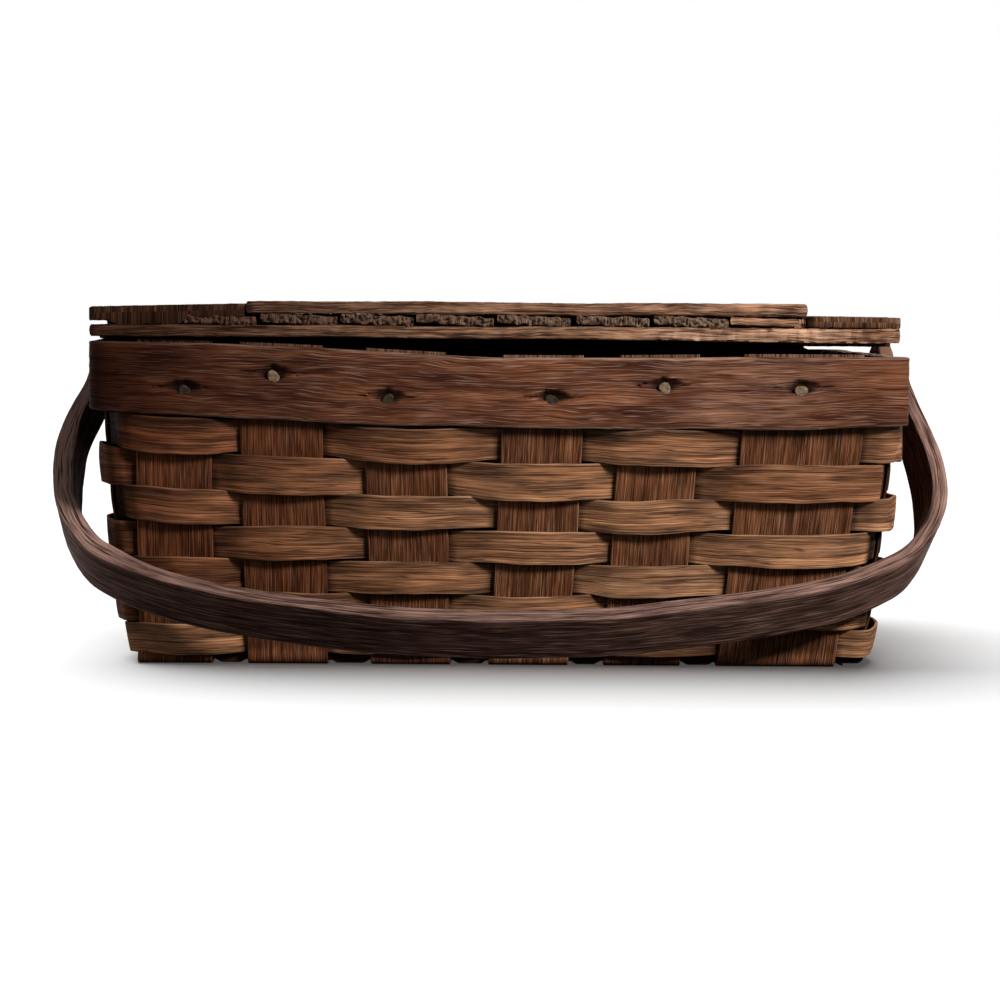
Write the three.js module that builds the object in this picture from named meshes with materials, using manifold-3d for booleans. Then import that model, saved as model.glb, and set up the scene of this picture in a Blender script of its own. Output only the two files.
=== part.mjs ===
// Picnic basket woven from flat wood splints, with a swing handle and a hinged lid.
// Millimetres, +Z up, front toward -Y, +X to the right, origin on the floor under the middle.
import * as THREE from 'three';
import { mergeVertices } from 'three/addons/utils/BufferGeometryUtils.js';
import manifoldModule from 'manifold-3d';

const solids = await manifoldModule();
solids.setup();
const { Manifold, Mesh: SolidMesh } = solids;

// Clearances
const gap = 0.3; // between pieces that touch
const weaveMargin = 1; // flat run of a weaver past each edge of the stake that it crosses
const lidMargin = 0.6; // the same on the lid, whose splints lie closer
const runningGap = 0.5; // between the handle and the parts that it turns on

// Rim
const rimLength = 410;
const rimDepth = 270;
const rimTop = 160;
const rimHeight = 36.5;
const rimCornerRadius = 20;
const outerRimThickness = 5;
const innerRimThickness = 4;
const innerRimHeight = 30;
const rimCornerSteps = 6;

// Walls and base
const endTaper = 13; // how far each end leans in from the rim's lower edge to the floor
const wallTaper = 24; // the same for the front and back walls
const splintThickness = 1.6;
const bendRadius = 2.5; // where a stake turns from the base up the wall
const bendSteps = 3;
const crossStakeWidth = 40; // the usual one
const crossStakeCuts = [0.95, 1.0375, 1.0125, 1.0125, 0.9875, 1.5]; // each against the usual, split by hand
const crossStakeShares = [14.25, 20.5, 27, 18, 21.25]; // how they share out the bare wall between them
const crossStakeCorner = 18.4; // bare wall from the outermost stakes to the corners
const crossStakeRise = 2; // cut ends above the rim
const endStakeCount = 5;
const endStakeSpace = 5.4; // bare base between two end stakes
const endStakeCorner = 17.25; // bare wall from the outermost end stakes to the corners, at the foot

// Woven rows
const rowCount = 7;
const rowGap = 0.35;
const rowsBottom = 7.4;
const wallBow = 4; // how far a row bows out over a stake of the front or back
const endBow = 2; // the same over a stake of the ends
const edgeBow = 0.4; // share of that bow over the stake's edges
const weaveCornerSteps = 4;

// Nails in the front of the rim
const nailHeadRadius = 3.1;
const nailHeadHeight = 1.2;
const nailShankRadius = 1.2;
const nailSteps = 12;
const nailSpots = [ // shares of its stake's width from the middle, and of the rim's height from the top
  { aside: 0.092, down: 0.63 },
  { aside: -0.12, down: 0.3425 },
  { aside: -0.247, down: 0.63 },
  { aside: 0.111, down: 0.575 },
  { aside: 0.089, down: 0.384 },
  { aside: 0.025, down: 0.425 },
];

// Handle and its ears
const earThickness = 8;
const earWidth = 40;
const earDrop = 34; // below the rim's upper edge
const earRise = 6; // above the rim's upper edge
const earChamfer = 2;
const handleWidth = 27;
const handleThickness = 8;
const gripHeight = 18.8; // middle of the bow above the floor, hanging against the front wall
const gripStandoff = 26.6; // and in front of the stakes at the rim
const handleStraight = 12; // leg run beside the ear
const handleSteps = 52;
const rivetShankRadius = 2.6;
const rivetHeadRadius = 6;
const rivetHeadHeight = 2.2;
const rivetSteps = 16;

// Lid
const lidLift = 7.5; // underside above the rim
const lidEndSetIn = 3; // from the rim's ends
const lidEdgeSetIn = 1; // from the rim's front and back
const lidCornerRadius = 6;
const lidCornerSteps = 4;
const lidStripThickness = 5.5;
const lidStripWidth = 30;
const lidEndWidth = 46;
const lidCrossCount = 8;
const lidCrossSpace = 6; // between two cross splints
const lidLongInner = 4; // long splints between the two that run along the front and back edges
const lidLongSpace = 9; // between two of these
const lidLongEdgeSetIn = 1; // the edge splints against the strips that hold them
const lidLongInset = 8; // long splints stop short of the lid's ends

// Hinges
const wireRadius = 1.1;
const wireSteps = 8;
const hingeSetIn = 93; // from the rim's ends
const hingeStandoff = 4; // hinge axis behind the rim
const stapleWidth = 12;
const stapleDrop = 12; // its legs enter the rim this far below the hinge axis
const stapleDepth = 3.5; // and this deep
const eyeRadius = 2.9;
const eyeSteps = 14;
const eyeDepth = 18;

// Derived sizes
const rimBottom = rimTop - rimHeight;
const rimHalfLength = rimLength / 2;
const rimHalfDepth = rimDepth / 2;
const stakeHalfLength = rimHalfLength - outerRimThickness - gap - splintThickness / 2;
const stakeHalfDepth = rimHalfDepth - outerRimThickness - gap - splintThickness / 2;
const stakeCornerRadius = rimCornerRadius - outerRimThickness - gap - splintThickness / 2;
const rimStack = outerRimThickness + splintThickness + innerRimThickness + 2 * gap; // hoops and stake
const layer = splintThickness + gap;
const rowPitch = (rimBottom - gap - rowsBottom) / rowCount;
const weaverHeight = rowPitch - rowGap;
const crossLevel = layer + splintThickness / 2; // middle of the cross stakes in the base
const pivotHeight = rimTop - rimHeight / 2;
const legInside = rimHalfLength + gap + earThickness + runningGap;
const legOutside = legInside + handleThickness;
const pinHoleLength = 2 * (legOutside + handleThickness); // right through both ends
const gripDrop = pivotHeight - gripHeight;
const gripOut = stakeHalfDepth + gripStandoff;
const gripReach = Math.hypot(gripDrop, gripOut);
const handleTilt = Math.atan2(gripDrop, gripOut); // below level
const lidHalfLength = rimHalfLength - lidEndSetIn;
const lidHalfDepth = rimHalfDepth - lidEdgeSetIn;
const panelHalfLength = lidHalfLength - lidEndWidth;
const stripInside = lidHalfDepth - lidStripWidth;
const lidCrossPitch = (2 * panelHalfLength) / lidCrossCount;
const lidCrossWidth = lidCrossPitch - lidCrossSpace;
const lidLongInnerPitch = (2 * stripInside) / lidLongInner;
const lidBottom = rimTop + lidLift;
const lidPanel = lidBottom + lidStripThickness + layer + gap + splintThickness / 2; // its cross splints
const lidUpper = lidPanel + layer + splintThickness / 2 + gap;
const lidEndLevel = lidPanel - splintThickness / 2;
const hingeX = rimHalfLength - hingeSetIn;
const hingeY = rimHalfDepth + hingeStandoff;
const hingeHeight = lidBottom + lidStripThickness / 2 - eyeRadius;
const endStakeRise = lidLift - gap; // the lid rests on the cut ends of the end stakes

// Finishes
function wood(color, roughness) {
  return new THREE.MeshStandardMaterial({ color, roughness, metalness: 0 });
}
const rimWood = wood('#4a2a22', 0.6);
const stakeSplint = wood('#6b4030', 0.7);
const weaverSplint = wood('#8a5c3e', 0.7);
const handleWood = wood('#5a3a34', 0.55);
const lidWood = wood('#6a4a3c', 0.75);
const lidSplint = wood('#7d6454', 0.85);
const nailSteel = new THREE.MeshStandardMaterial({ color: '#a09a8e', roughness: 0.5, metalness: 0.8 });
const hingeWire = new THREE.MeshStandardMaterial({ color: '#55504a', roughness: 0.55, metalness: 0.9 });

// The walls lean in below the rim: scale of length and depth at a height
function share(z) {
  return THREE.MathUtils.clamp(1 - z / rimBottom, 0, 1);
}
function scaleX(z) {
  return 1 - (share(z) * endTaper) / stakeHalfLength;
}
function scaleY(z) {
  return 1 - (share(z) * wallTaper) / stakeHalfDepth;
}

// Cross stakes along the front wall, and end stakes along the ends
function total(values) {
  return values.reduce((sum, value) => sum + value, 0);
}
const stakeWidths = crossStakeCuts.map((cutShare) => cutShare * crossStakeWidth);
const bareWall = 2 * (stakeHalfLength - crossStakeCorner) - total(stakeWidths);
const crossSpaces = crossStakeShares.map((part) => (bareWall * part) / total(crossStakeShares));
const crossStakes = stakeWidths.map((width, i) => {
  const before = total(stakeWidths.slice(0, i)) + total(crossSpaces.slice(0, i));
  return { x: crossStakeCorner - stakeHalfLength + before + width / 2, width };
});
const footSpace = endStakeSpace / scaleY(0); // as wide at the rim as it would be without the lean
const endStakePitch = (2 * (stakeHalfDepth - endStakeCorner) + footSpace) / endStakeCount;
const endStakeWidth = (endStakePitch - footSpace) * scaleY(0);
const nailPlaces = crossStakes.map(({ x, width }, i) => ({
  x: x + nailSpots[i].aside * width,
  below: nailSpots[i].down * rimHeight,
}));

// Geometry helpers
function reshape(geometry, move) {
  const place = geometry.attributes.position;
  const point = new THREE.Vector3();
  for (let i = 0; i < place.count; i += 1) {
    point.fromBufferAttribute(place, i);
    move(point);
    place.setXYZ(i, point.x, point.y, point.z);
  }
  return geometry;
}

function closed(geometry) {
  geometry.deleteAttribute('normal');
  geometry.deleteAttribute('uv');
  const welded = mergeVertices(geometry, 1e-3);
  welded.clearGroups();
  const index = welded.index.array;
  const kept = [];
  for (let i = 0; i < index.length; i += 3) {
    const [a, b, c] = [index[i], index[i + 1], index[i + 2]];
    if (a !== b && b !== c && c !== a) {
      kept.push(a, b, c);
    }
  }
  welded.setIndex(kept);
  welded.computeVertexNormals();
  return welded;
}

function toSolid(geometry) {
  const welded = closed(geometry);
  const mesh = new SolidMesh({
    numProp: 3,
    vertProperties: Float32Array.from(welded.attributes.position.array),
    triVerts: Uint32Array.from(welded.index.array),
  });
  mesh.merge();
  return new Manifold(mesh);
}

function toGeometry(solid) {
  const mesh = solid.getMesh();
  const geometry = new THREE.BufferGeometry();
  geometry.setAttribute('position', new THREE.Float32BufferAttribute(mesh.vertProperties, 3));
  geometry.setIndex(Array.from(mesh.triVerts));
  return closed(geometry);
}

function cut(geometry, tools) {
  return toGeometry(tools.reduce((solid, tool) => solid.subtract(toSolid(tool)), toSolid(geometry)));
}

function join(geometries) {
  return toGeometry(geometries.map(toSolid).reduce((all, next) => all.add(next)));
}

// Sideways step at each point of a path, so that straight runs keep their offset at a bend
function miters(path, isLoop) {
  return path.map((point, i) => {
    const before = isLoop || i > 0 ? path.at(i - 1) : null;
    const after = isLoop || i < path.length - 1 ? path[(i + 1) % path.length] : null;
    const run = [];
    if (before) {
      run.push(point.clone().sub(before).normalize());
    }
    if (after) {
      run.push(after.clone().sub(point).normalize());
    }
    const side = run.map((way) => new THREE.Vector2(way.y, -way.x));
    const middle = side.reduce((sum, next) => sum.clone().add(next)).normalize();
    return middle.divideScalar(middle.dot(side[0]));
  });
}

function offset(path, distance, isLoop) {
  const steps = miters(path, isLoop);
  return path.map((point, i) => point.clone().addScaledVector(steps[i], distance));
}

function extrude(outline, holes, depth) {
  const shape = new THREE.Shape(outline);
  shape.holes = holes.map((hole) => new THREE.Path(hole));
  return new THREE.ExtrudeGeometry(shape, { depth, bevelEnabled: false, steps: 1 });
}

// A strip that follows an open path, with the path along its middle
function strip(path, thickness, width) {
  const outline = [...offset(path, thickness / 2, false), ...offset(path, -thickness / 2, false).reverse()];
  return extrude(outline, [], width).translate(0, 0, -width / 2);
}

// A hoop that follows a closed path, from one side step to another
function hoop(path, inner, outer, height) {
  return extrude(offset(path, outer, true), [offset(path, inner, true)], height);
}

// Profile drawn across (Y, Z), extruded along X
function alongX(geometry) {
  return geometry.rotateX(Math.PI / 2).rotateZ(Math.PI / 2);
}

// Profile drawn across (X, Z), extruded along -Y
function alongY(geometry) {
  return geometry.rotateX(Math.PI / 2);
}

function around(centre, radius, angle) {
  return new THREE.Vector2(centre.x + radius * Math.cos(angle), centre.y + radius * Math.sin(angle));
}

function arc(centre, radius, from, to, steps) {
  const points = [];
  for (let i = 0; i <= steps; i += 1) {
    const angle = from + ((to - from) * i) / steps;
    points.push(around(centre, radius, angle));
  }
  return points;
}

function roundedRectangle(halfLength, halfDepth, radius, steps) {
  const points = [];
  const corners = [
    [1, -1],
    [1, 1],
    [-1, 1],
    [-1, -1],
  ];
  corners.forEach(([sx, sy], i) => {
    const centre = new THREE.Vector2(sx * (halfLength - radius), sy * (halfDepth - radius));
    const start = ((i - 1) * Math.PI) / 2;
    points.push(...arc(centre, radius, start, start + Math.PI / 2, steps));
  });
  return points;
}

function rod(radius, length, steps) {
  return new THREE.CylinderGeometry(radius, radius, length, steps);
}

// A bent wire with closed ends, its corners mitred
function wire(points, radius, steps) {
  const runs = points.slice(1).map((point, i) => point.clone().sub(points[i]).normalize());
  const rings = points.map((point, i) => {
    const before = runs[Math.max(i - 1, 0)];
    const after = runs[Math.min(i, runs.length - 1)];
    const facing = before.clone().add(after).normalize();
    return { point, before, facing };
  });
  const vertices = [];
  let ring = arc(new THREE.Vector2(), radius, 0, 2 * Math.PI, steps).slice(0, steps);
  const start = new THREE.Quaternion().setFromUnitVectors(new THREE.Vector3(0, 0, 1), runs[0]);
  ring = ring.map(({ x, y }) => new THREE.Vector3(x, y, 0).applyQuaternion(start).add(points[0]));
  rings.forEach(({ point, before, facing }) => {
    ring = ring.map((corner) => {
      const reach = point.clone().sub(corner).dot(facing) / before.dot(facing);
      return corner.clone().addScaledVector(before, reach);
    });
    vertices.push(...ring);
  });
  const index = [];
  for (let i = 0; i < points.length - 1; i += 1) {
    for (let k = 0; k < steps; k += 1) {
      const a = i * steps + k;
      const b = i * steps + ((k + 1) % steps);
      index.push(a, b, a + steps, b, b + steps, a + steps);
    }
  }
  const last = (points.length - 1) * steps;
  for (let k = 1; k < steps - 1; k += 1) {
    index.push(0, k + 1, k, last, last + k, last + k + 1);
  }
  const geometry = new THREE.BufferGeometry().setFromPoints(vertices);
  geometry.setIndex(index);
  return geometry;
}

function place(parent, name, geometry, material) {
  const mesh = new THREE.Mesh(closed(geometry), material);
  mesh.name = name;
  parent.add(mesh);
  return mesh;
}

function group(name, parent) {
  const made = new THREE.Group();
  made.name = name;
  parent?.add(made);
  return made;
}

function counted(count, make) {
  return Array.from({ length: count }, (_, i) => make(i));
}

// Holes in the rim: nails at the front, rivets at the ends, staples at the back
function nailHole({ x, below }) {
  const hole = rod(nailShankRadius + gap, 2 * rimStack, nailSteps);
  return hole.translate(x, rimStack / 2 - rimHalfDepth, rimTop - below);
}
function rivetHole() {
  const hole = rod(rivetShankRadius + gap, pinHoleLength, rivetSteps).rotateZ(Math.PI / 2);
  return hole.translate(0, 0, pivotHeight);
}
function stapleHole(x, side) {
  const hole = rod(wireRadius + gap, 2 * (stapleDepth + gap), wireSteps);
  return hole.translate(x + (side * stapleWidth) / 2, rimHalfDepth, hingeHeight - stapleDrop);
}

const endStakeYs = counted(endStakeCount, (i) => (i - (endStakeCount - 1) / 2) * endStakePitch);
const basket = group('picnic_basket');
const body = group('body', basket);

// Cross stakes: front wall, base, back wall
function stakePath(half, scale, top, baseLevel) {
  const bend = new THREE.Vector2(half - bendRadius, baseLevel + bendRadius);
  const rightBend = arc(bend, bendRadius, -Math.PI / 2, 0, bendSteps);
  const leftBend = rightBend.map(({ x, y }) => new THREE.Vector2(-x, y)).reverse();
  const path = [
    new THREE.Vector2(-half, top),
    new THREE.Vector2(-half, rimBottom),
    ...leftBend,
    ...rightBend,
    new THREE.Vector2(half, rimBottom),
    new THREE.Vector2(half, top),
  ];
  return path.map(({ x, y }) => new THREE.Vector2(x * scale(y), y));
}

crossStakes.forEach(({ x, width }, i) => {
  const path = stakePath(stakeHalfDepth, scaleY, rimTop + crossStakeRise, crossLevel);
  const geometry = reshape(alongX(strip(path, splintThickness, width)), (point) => {
    point.x += x * scaleX(point.z);
  });
  place(body, `cross_stake_${i + 1}`, cut(geometry, [nailHole(nailPlaces[i])]), stakeSplint);
});

// End stakes: left end, woven along the base, right end
function baseRun(row) {
  const points = [];
  crossStakes.forEach(({ x, width }, i) => {
    const isOver = (i + row) % 2 === 0;
    const level = crossLevel + (isOver ? layer : -layer);
    [-1, 1].forEach((side) => {
      const edge = x * scaleX(0) + (side * width) / 2;
      const next = crossStakes[i + side];
      if (next) {
        const free = Math.abs(next.x * scaleX(0) - (side * next.width) / 2 - edge);
        points.push(new THREE.Vector2(edge + side * (isOver ? weaveMargin : free / 2), level));
      }
    });
  });
  return points;
}

endStakeYs.forEach((y, row) => {
  const startLevel = crossLevel + (row % 2 === 0 ? layer : -layer);
  const endLevel = crossLevel + ((crossStakes.length - 1 + row) % 2 === 0 ? layer : -layer);
  const start = stakePath(stakeHalfLength, scaleX, rimTop + endStakeRise, startLevel);
  const end = stakePath(stakeHalfLength, scaleX, rimTop + endStakeRise, endLevel);
  const path = [...start.slice(0, start.length / 2), ...baseRun(row), ...end.slice(end.length / 2)];
  const geometry = reshape(alongY(strip(path, splintThickness, endStakeWidth)), (point) => {
    point.y += y * scaleY(point.z);
  });
  const tools = y === 0 ? [rivetHole()] : [];
  place(body, `end_stake_${row + 1}`, cut(geometry, tools), stakeSplint);
});

// Woven rows: outside one stake, inside the next
function rowPath(row) {
  const middle = rimBottom - gap - (row + 0.5) * rowPitch;
  const side = (index) => ((index + row) % 2 === 0 ? layer : -layer);
  const points = [];
  let index = 0;
  const corner = (sx, sy, start) => {
    const straightX = stakeHalfLength - stakeCornerRadius;
    const straightY = stakeHalfDepth - stakeCornerRadius;
    const centre = new THREE.Vector2(sx * straightX, sy * straightY);
    for (let i = 0; i <= weaveCornerSteps; i += 1) {
      const along = i / weaveCornerSteps;
      const radius = stakeCornerRadius + THREE.MathUtils.lerp(side(index - 1), side(index), along);
      points.push(around(centre, radius, start + (along * Math.PI) / 2));
    }
  };
  const wall = (stakes, bow, makePoint) => {
    stakes.forEach(({ at, half }) => {
      const reach = half + weaveMargin;
      const out = side(index);
      const isOutside = out > 0;
      const edge = isOutside ? out + edgeBow * bow : out;
      points.push(makePoint(at - reach, edge));
      if (isOutside) {
        points.push(makePoint(at, out + bow));
      }
      points.push(makePoint(at + reach, edge));
      index += 1;
    });
  };
  const front = crossStakes.map(({ x, width }) => ({ at: x, half: width / 2 / scaleX(middle) }));
  const right = endStakeYs.map((y) => ({ at: y, half: endStakeWidth / 2 / scaleY(middle) }));
  const mirrored = (stakes) => stakes.map(({ at, half }) => ({ at: -at, half })).reverse();
  wall(front, wallBow, (x, out) => new THREE.Vector2(x, -stakeHalfDepth - out));
  corner(1, -1, -Math.PI / 2);
  wall(right, endBow, (y, out) => new THREE.Vector2(stakeHalfLength + out, y));
  corner(1, 1, 0);
  wall(mirrored(front), wallBow, (x, out) => new THREE.Vector2(-x, stakeHalfDepth + out));
  corner(-1, 1, Math.PI / 2);
  wall(mirrored(right), endBow, (y, out) => new THREE.Vector2(-stakeHalfLength - out, -y));
  corner(-1, -1, Math.PI);
  return points;
}

for (let row = 0; row < rowCount; row += 1) {
  const bottom = rimBottom - gap - (row + 1) * rowPitch + rowGap;
  const ring = hoop(rowPath(row), -splintThickness / 2, splintThickness / 2, weaverHeight);
  const geometry = reshape(ring.translate(0, 0, bottom), (point) => {
    point.x *= scaleX(point.z);
    point.y *= scaleY(point.z);
  });
  place(body, `weaver_row_${row + 1}`, geometry, weaverSplint);
}

// Rim hoops, one each side of the stakes
const hoopPath = roundedRectangle(stakeHalfLength, stakeHalfDepth, stakeCornerRadius, rimCornerSteps);
const stakeFace = splintThickness / 2 + gap;
const rimHoles = [...nailPlaces.map(nailHole), rivetHole()];
const stapleHoles = [-1, 1].flatMap((end) => [-1, 1].map((side) => stapleHole(end * hingeX, side)));
const outerRim = hoop(hoopPath, stakeFace, stakeFace + outerRimThickness, rimHeight);
outerRim.translate(0, 0, rimBottom);
place(body, 'outer_rim_hoop', cut(outerRim, [...rimHoles, ...stapleHoles]), rimWood);
const innerRim = hoop(hoopPath, -stakeFace - innerRimThickness, -stakeFace, innerRimHeight);
innerRim.translate(0, 0, rimTop - innerRimHeight);
place(body, 'inner_rim_hoop', cut(innerRim, rimHoles), rimWood);

// Front nails
function headedPin(headRadius, headHeight, shankRadius, shankLength, steps) {
  const profile = [
    new THREE.Vector2(0, -shankLength),
    new THREE.Vector2(shankRadius, -shankLength),
    new THREE.Vector2(shankRadius, 0),
    new THREE.Vector2(headRadius, 0),
    new THREE.Vector2(headRadius, headHeight / 2),
    new THREE.Vector2(headRadius * 0.7, headHeight),
    new THREE.Vector2(0, headHeight),
  ];
  return new THREE.LatheGeometry(profile, steps);
}

nailPlaces.forEach(({ x, below }, i) => {
  const pin = headedPin(nailHeadRadius, nailHeadHeight, nailShankRadius, rimStack, nailSteps);
  const nail = place(body, `front_nail_${i + 1}`, pin, nailSteel);
  nail.rotation.x = Math.PI;
  nail.position.set(x, -rimHalfDepth - gap, rimTop - below);
});

// Ears on the rim ends, and the rivets that the handle turns on
const rivetLength = legOutside + runningGap - rimHalfLength + rimStack + gap;
[-1, 1].forEach((end) => {
  const side = end < 0 ? 'left' : 'right';
  const inside = rimHalfLength + gap;
  const outside = inside + earThickness;
  const outline = [
    new THREE.Vector2(inside, rimTop - earDrop),
    new THREE.Vector2(outside, rimTop - earDrop),
    new THREE.Vector2(outside, rimTop - earChamfer / 2),
    new THREE.Vector2(outside - earChamfer, rimTop + earRise),
    new THREE.Vector2(inside + earChamfer, rimTop + earRise),
    new THREE.Vector2(inside, rimTop),
  ];
  const block = alongY(extrude(outline, [], earWidth)).translate(0, earWidth / 2, 0);
  const ear = place(body, `ear_${side}`, cut(block, [rivetHole()]), rimWood);
  ear.rotation.z = end < 0 ? Math.PI : 0;
  const pin = headedPin(rivetHeadRadius, rivetHeadHeight, rivetShankRadius, rivetLength, rivetSteps);
  const rivet = place(body, `rivet_${side}`, pin, nailSteel);
  rivet.rotation.z = (-end * Math.PI) / 2;
  rivet.position.set(end * (legOutside + runningGap), 0, pivotHeight);
});

// Handle, drawn flat as reach against span, then hung on the rivets
const handle = group('handle', basket);
handle.position.z = pivotHeight;
handle.rotation.x = handleTilt;
const legBend = [ // out from the leg's face, and along from the pivot
  [0, handleStraight],
  [2, 26],
  [6, 48],
];
const shoulder = [ // out from the leg's face, and short of the full reach
  [9, 129.5],
  [10, 110.5],
  [9, 92.5],
  [5, 77.5],
  [-1.8, 63.5],
  [-9.8, 51.5],
  [-19.8, 43],
  [-34.8, 34],
  [-54.8, 25],
  [-75.8, 19],
  [-101.8, 13],
  [-123.8, 9],
  [-152.8, 4],
  [-172.8, 1.7],
];
const bowSpan = [
  ...legBend.map(([out, along]) => new THREE.Vector2(legOutside + out, along)),
  ...shoulder.map(([out, short]) => new THREE.Vector2(legOutside + out, gripReach - short)),
  new THREE.Vector2(0, gripReach),
];
const rightBow = bowSpan.map(({ x, y }) => new THREE.Vector3(x, -y, 0));
const leftBow = rightBow.slice(0, -1).map(({ x, y }) => new THREE.Vector3(-x, y, 0));
const bowCurve = new THREE.CatmullRomCurve3([...leftBow, ...rightBow.reverse()], false, 'centripetal');
const bowLine = bowCurve.getSpacedPoints(handleSteps).map(({ x, y }) => new THREE.Vector2(x, y));
const legLine = [new THREE.Vector2(-legOutside, 0), ...bowLine, new THREE.Vector2(legOutside, 0)];
const bowOutline = [...legLine, ...offset(legLine, -handleThickness, false).reverse()];
const bow = extrude(bowOutline, [], handleWidth).translate(0, 0, -handleWidth / 2);
const tails = [-1, 1].map((end) => {
  const disc = rod(handleWidth / 2, handleThickness, 2 * rivetSteps).rotateZ(Math.PI / 2);
  return disc.translate((end * (legInside + legOutside)) / 2, 0, 0);
});
const pinHole = rod(rivetShankRadius + runningGap, pinHoleLength, rivetSteps).rotateZ(Math.PI / 2);
place(handle, 'handle_bow', cut(join([bow, ...tails]), [pinHole]), handleWood);

// Lid frame strips
const lid = group('lid', basket);

function board(x0, x1, y0, y1, roundSides) {
  const radius = (sx, sy) => (roundSides.some(([a, b]) => a === sx && b === sy) ? lidCornerRadius : 0);
  const corners = [
    [x1, y0, 1, -1],
    [x1, y1, 1, 1],
    [x0, y1, -1, 1],
    [x0, y0, -1, -1],
  ];
  const points = corners.flatMap(([x, y, sx, sy], i) => {
    const r = radius(sx, sy);
    const start = ((i - 1) * Math.PI) / 2;
    const centre = new THREE.Vector2(x - sx * r, y - sy * r);
    return r > 0 ? arc(centre, r, start, start + Math.PI / 2, lidCornerSteps) : [centre];
  });
  return extrude(points, [], lidStripThickness);
}

function eyeHole(x) {
  const hole = rod(wireRadius + gap, 2 * (eyeDepth + gap), wireSteps);
  return hole.translate(x, lidHalfDepth, lidStripThickness / 2);
}

[-1, 1].forEach((side) => {
  const name = side < 0 ? 'front' : 'back';
  const [y0, y1] = side < 0 ? [-lidHalfDepth, -stripInside] : [stripInside, lidHalfDepth];
  const outerCorners = [[-1, side], [1, side]];
  const holes = side < 0 ? [] : [eyeHole(-hingeX), eyeHole(hingeX)];
  const lowerBoard = board(-lidHalfLength, lidHalfLength, y0, y1, outerCorners);
  const lower = place(lid, `lid_lower_${name}`, cut(lowerBoard, holes), lidWood);
  lower.position.z = lidBottom;
  const upperBoard = board(gap - panelHalfLength, panelHalfLength - gap, y0, y1, outerCorners);
  const upper = place(lid, `lid_upper_${name}`, upperBoard, lidWood);
  upper.position.z = lidUpper;
});

[-1, 1].forEach((end) => {
  const name = end < 0 ? 'left' : 'right';
  const [x0, x1] = end < 0 ? [-lidHalfLength, -panelHalfLength] : [panelHalfLength, lidHalfLength];
  const lowerBoard = board(x0, x1, gap - stripInside, stripInside - gap, []);
  const lower = place(lid, `lid_lower_${name}`, lowerBoard, lidWood);
  lower.position.z = lidBottom;
  const outerCorners = [[end, -1], [end, 1]];
  const upperBoard = board(x0, x1, -lidHalfDepth, lidHalfDepth, outerCorners);
  const upper = place(lid, `lid_end_${name}`, upperBoard, lidWood);
  upper.position.z = lidEndLevel;
});

// Woven lid panel
const lidCrossXs = counted(lidCrossCount, (i) => (i - (lidCrossCount - 1) / 2) * lidCrossPitch);
lidCrossXs.forEach((x, i) => {
  const splint = new THREE.BoxGeometry(lidCrossWidth, 2 * lidHalfDepth, splintThickness);
  const mesh = place(lid, `lid_cross_${i + 1}`, splint, lidSplint);
  mesh.position.set(x, 0, lidPanel);
});

const lidLongEdgeY = lidHalfDepth - lidStripWidth / 2;
const edgeWidth = lidStripWidth - 2 * lidLongEdgeSetIn;
const lidLongs = [
  { y: -lidLongEdgeY, width: edgeWidth },
  ...counted(lidLongInner, (i) => ({
    y: (i - (lidLongInner - 1) / 2) * lidLongInnerPitch,
    width: lidLongInnerPitch - lidLongSpace,
  })),
  { y: lidLongEdgeY, width: edgeWidth },
];
lidLongs.forEach(({ y, width }, row) => {
  const end = lidHalfLength - lidLongInset;
  const reach = lidCrossWidth / 2 + lidMargin;
  const path = [new THREE.Vector2(-end, -layer), new THREE.Vector2(lidMargin - panelHalfLength, -layer)];
  lidCrossXs.forEach((x, i) => {
    const level = (i + row) % 2 === 0 ? layer : -layer;
    path.push(new THREE.Vector2(x - reach, level), new THREE.Vector2(x + reach, level));
  });
  path.push(new THREE.Vector2(panelHalfLength - lidMargin, -layer), new THREE.Vector2(end, -layer));
  const mesh = place(lid, `lid_long_${row + 1}`, alongY(strip(path, splintThickness, width)), lidSplint);
  mesh.position.set(0, y, lidPanel);
});

// Hinges: a wire staple in the rim, and an eye in the lid looped round it
[-1, 1].forEach((end) => {
  const side = end < 0 ? 'left' : 'right';
  const half = stapleWidth / 2;
  const reach = hingeStandoff + stapleDepth;
  const points = [
    new THREE.Vector3(-half, -reach, -stapleDrop),
    new THREE.Vector3(-half, 0, -stapleDrop),
    new THREE.Vector3(-half, 0, 0),
    new THREE.Vector3(half, 0, 0),
    new THREE.Vector3(half, 0, -stapleDrop),
    new THREE.Vector3(half, -reach, -stapleDrop),
  ];
  const staple = place(body, `staple_${side}`, wire(points, wireRadius, wireSteps), hingeWire);
  staple.position.set(end * hingeX, hingeY, hingeHeight);
  const ring = new THREE.TorusGeometry(eyeRadius, wireRadius, wireSteps, eyeSteps).rotateY(Math.PI / 2);
  const shankLength = hingeY - lidHalfDepth + eyeDepth;
  const shank = rod(wireRadius, shankLength, wireSteps).translate(0, -shankLength / 2, eyeRadius);
  const eye = place(lid, `eye_${side}`, join([ring, shank]), hingeWire);
  eye.position.set(end * hingeX, hingeY, hingeHeight);
});

export default basket;
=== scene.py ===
"""Looks of a woven splint picnic basket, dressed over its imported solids. Metres, +Z up, front toward -Y."""
import logging
import math
from dataclasses import dataclass, field
from enum import Enum
from typing import Any, Callable, Optional, Sequence, Union

import bpy
import numpy as np
from mathutils import Matrix, Vector


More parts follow.
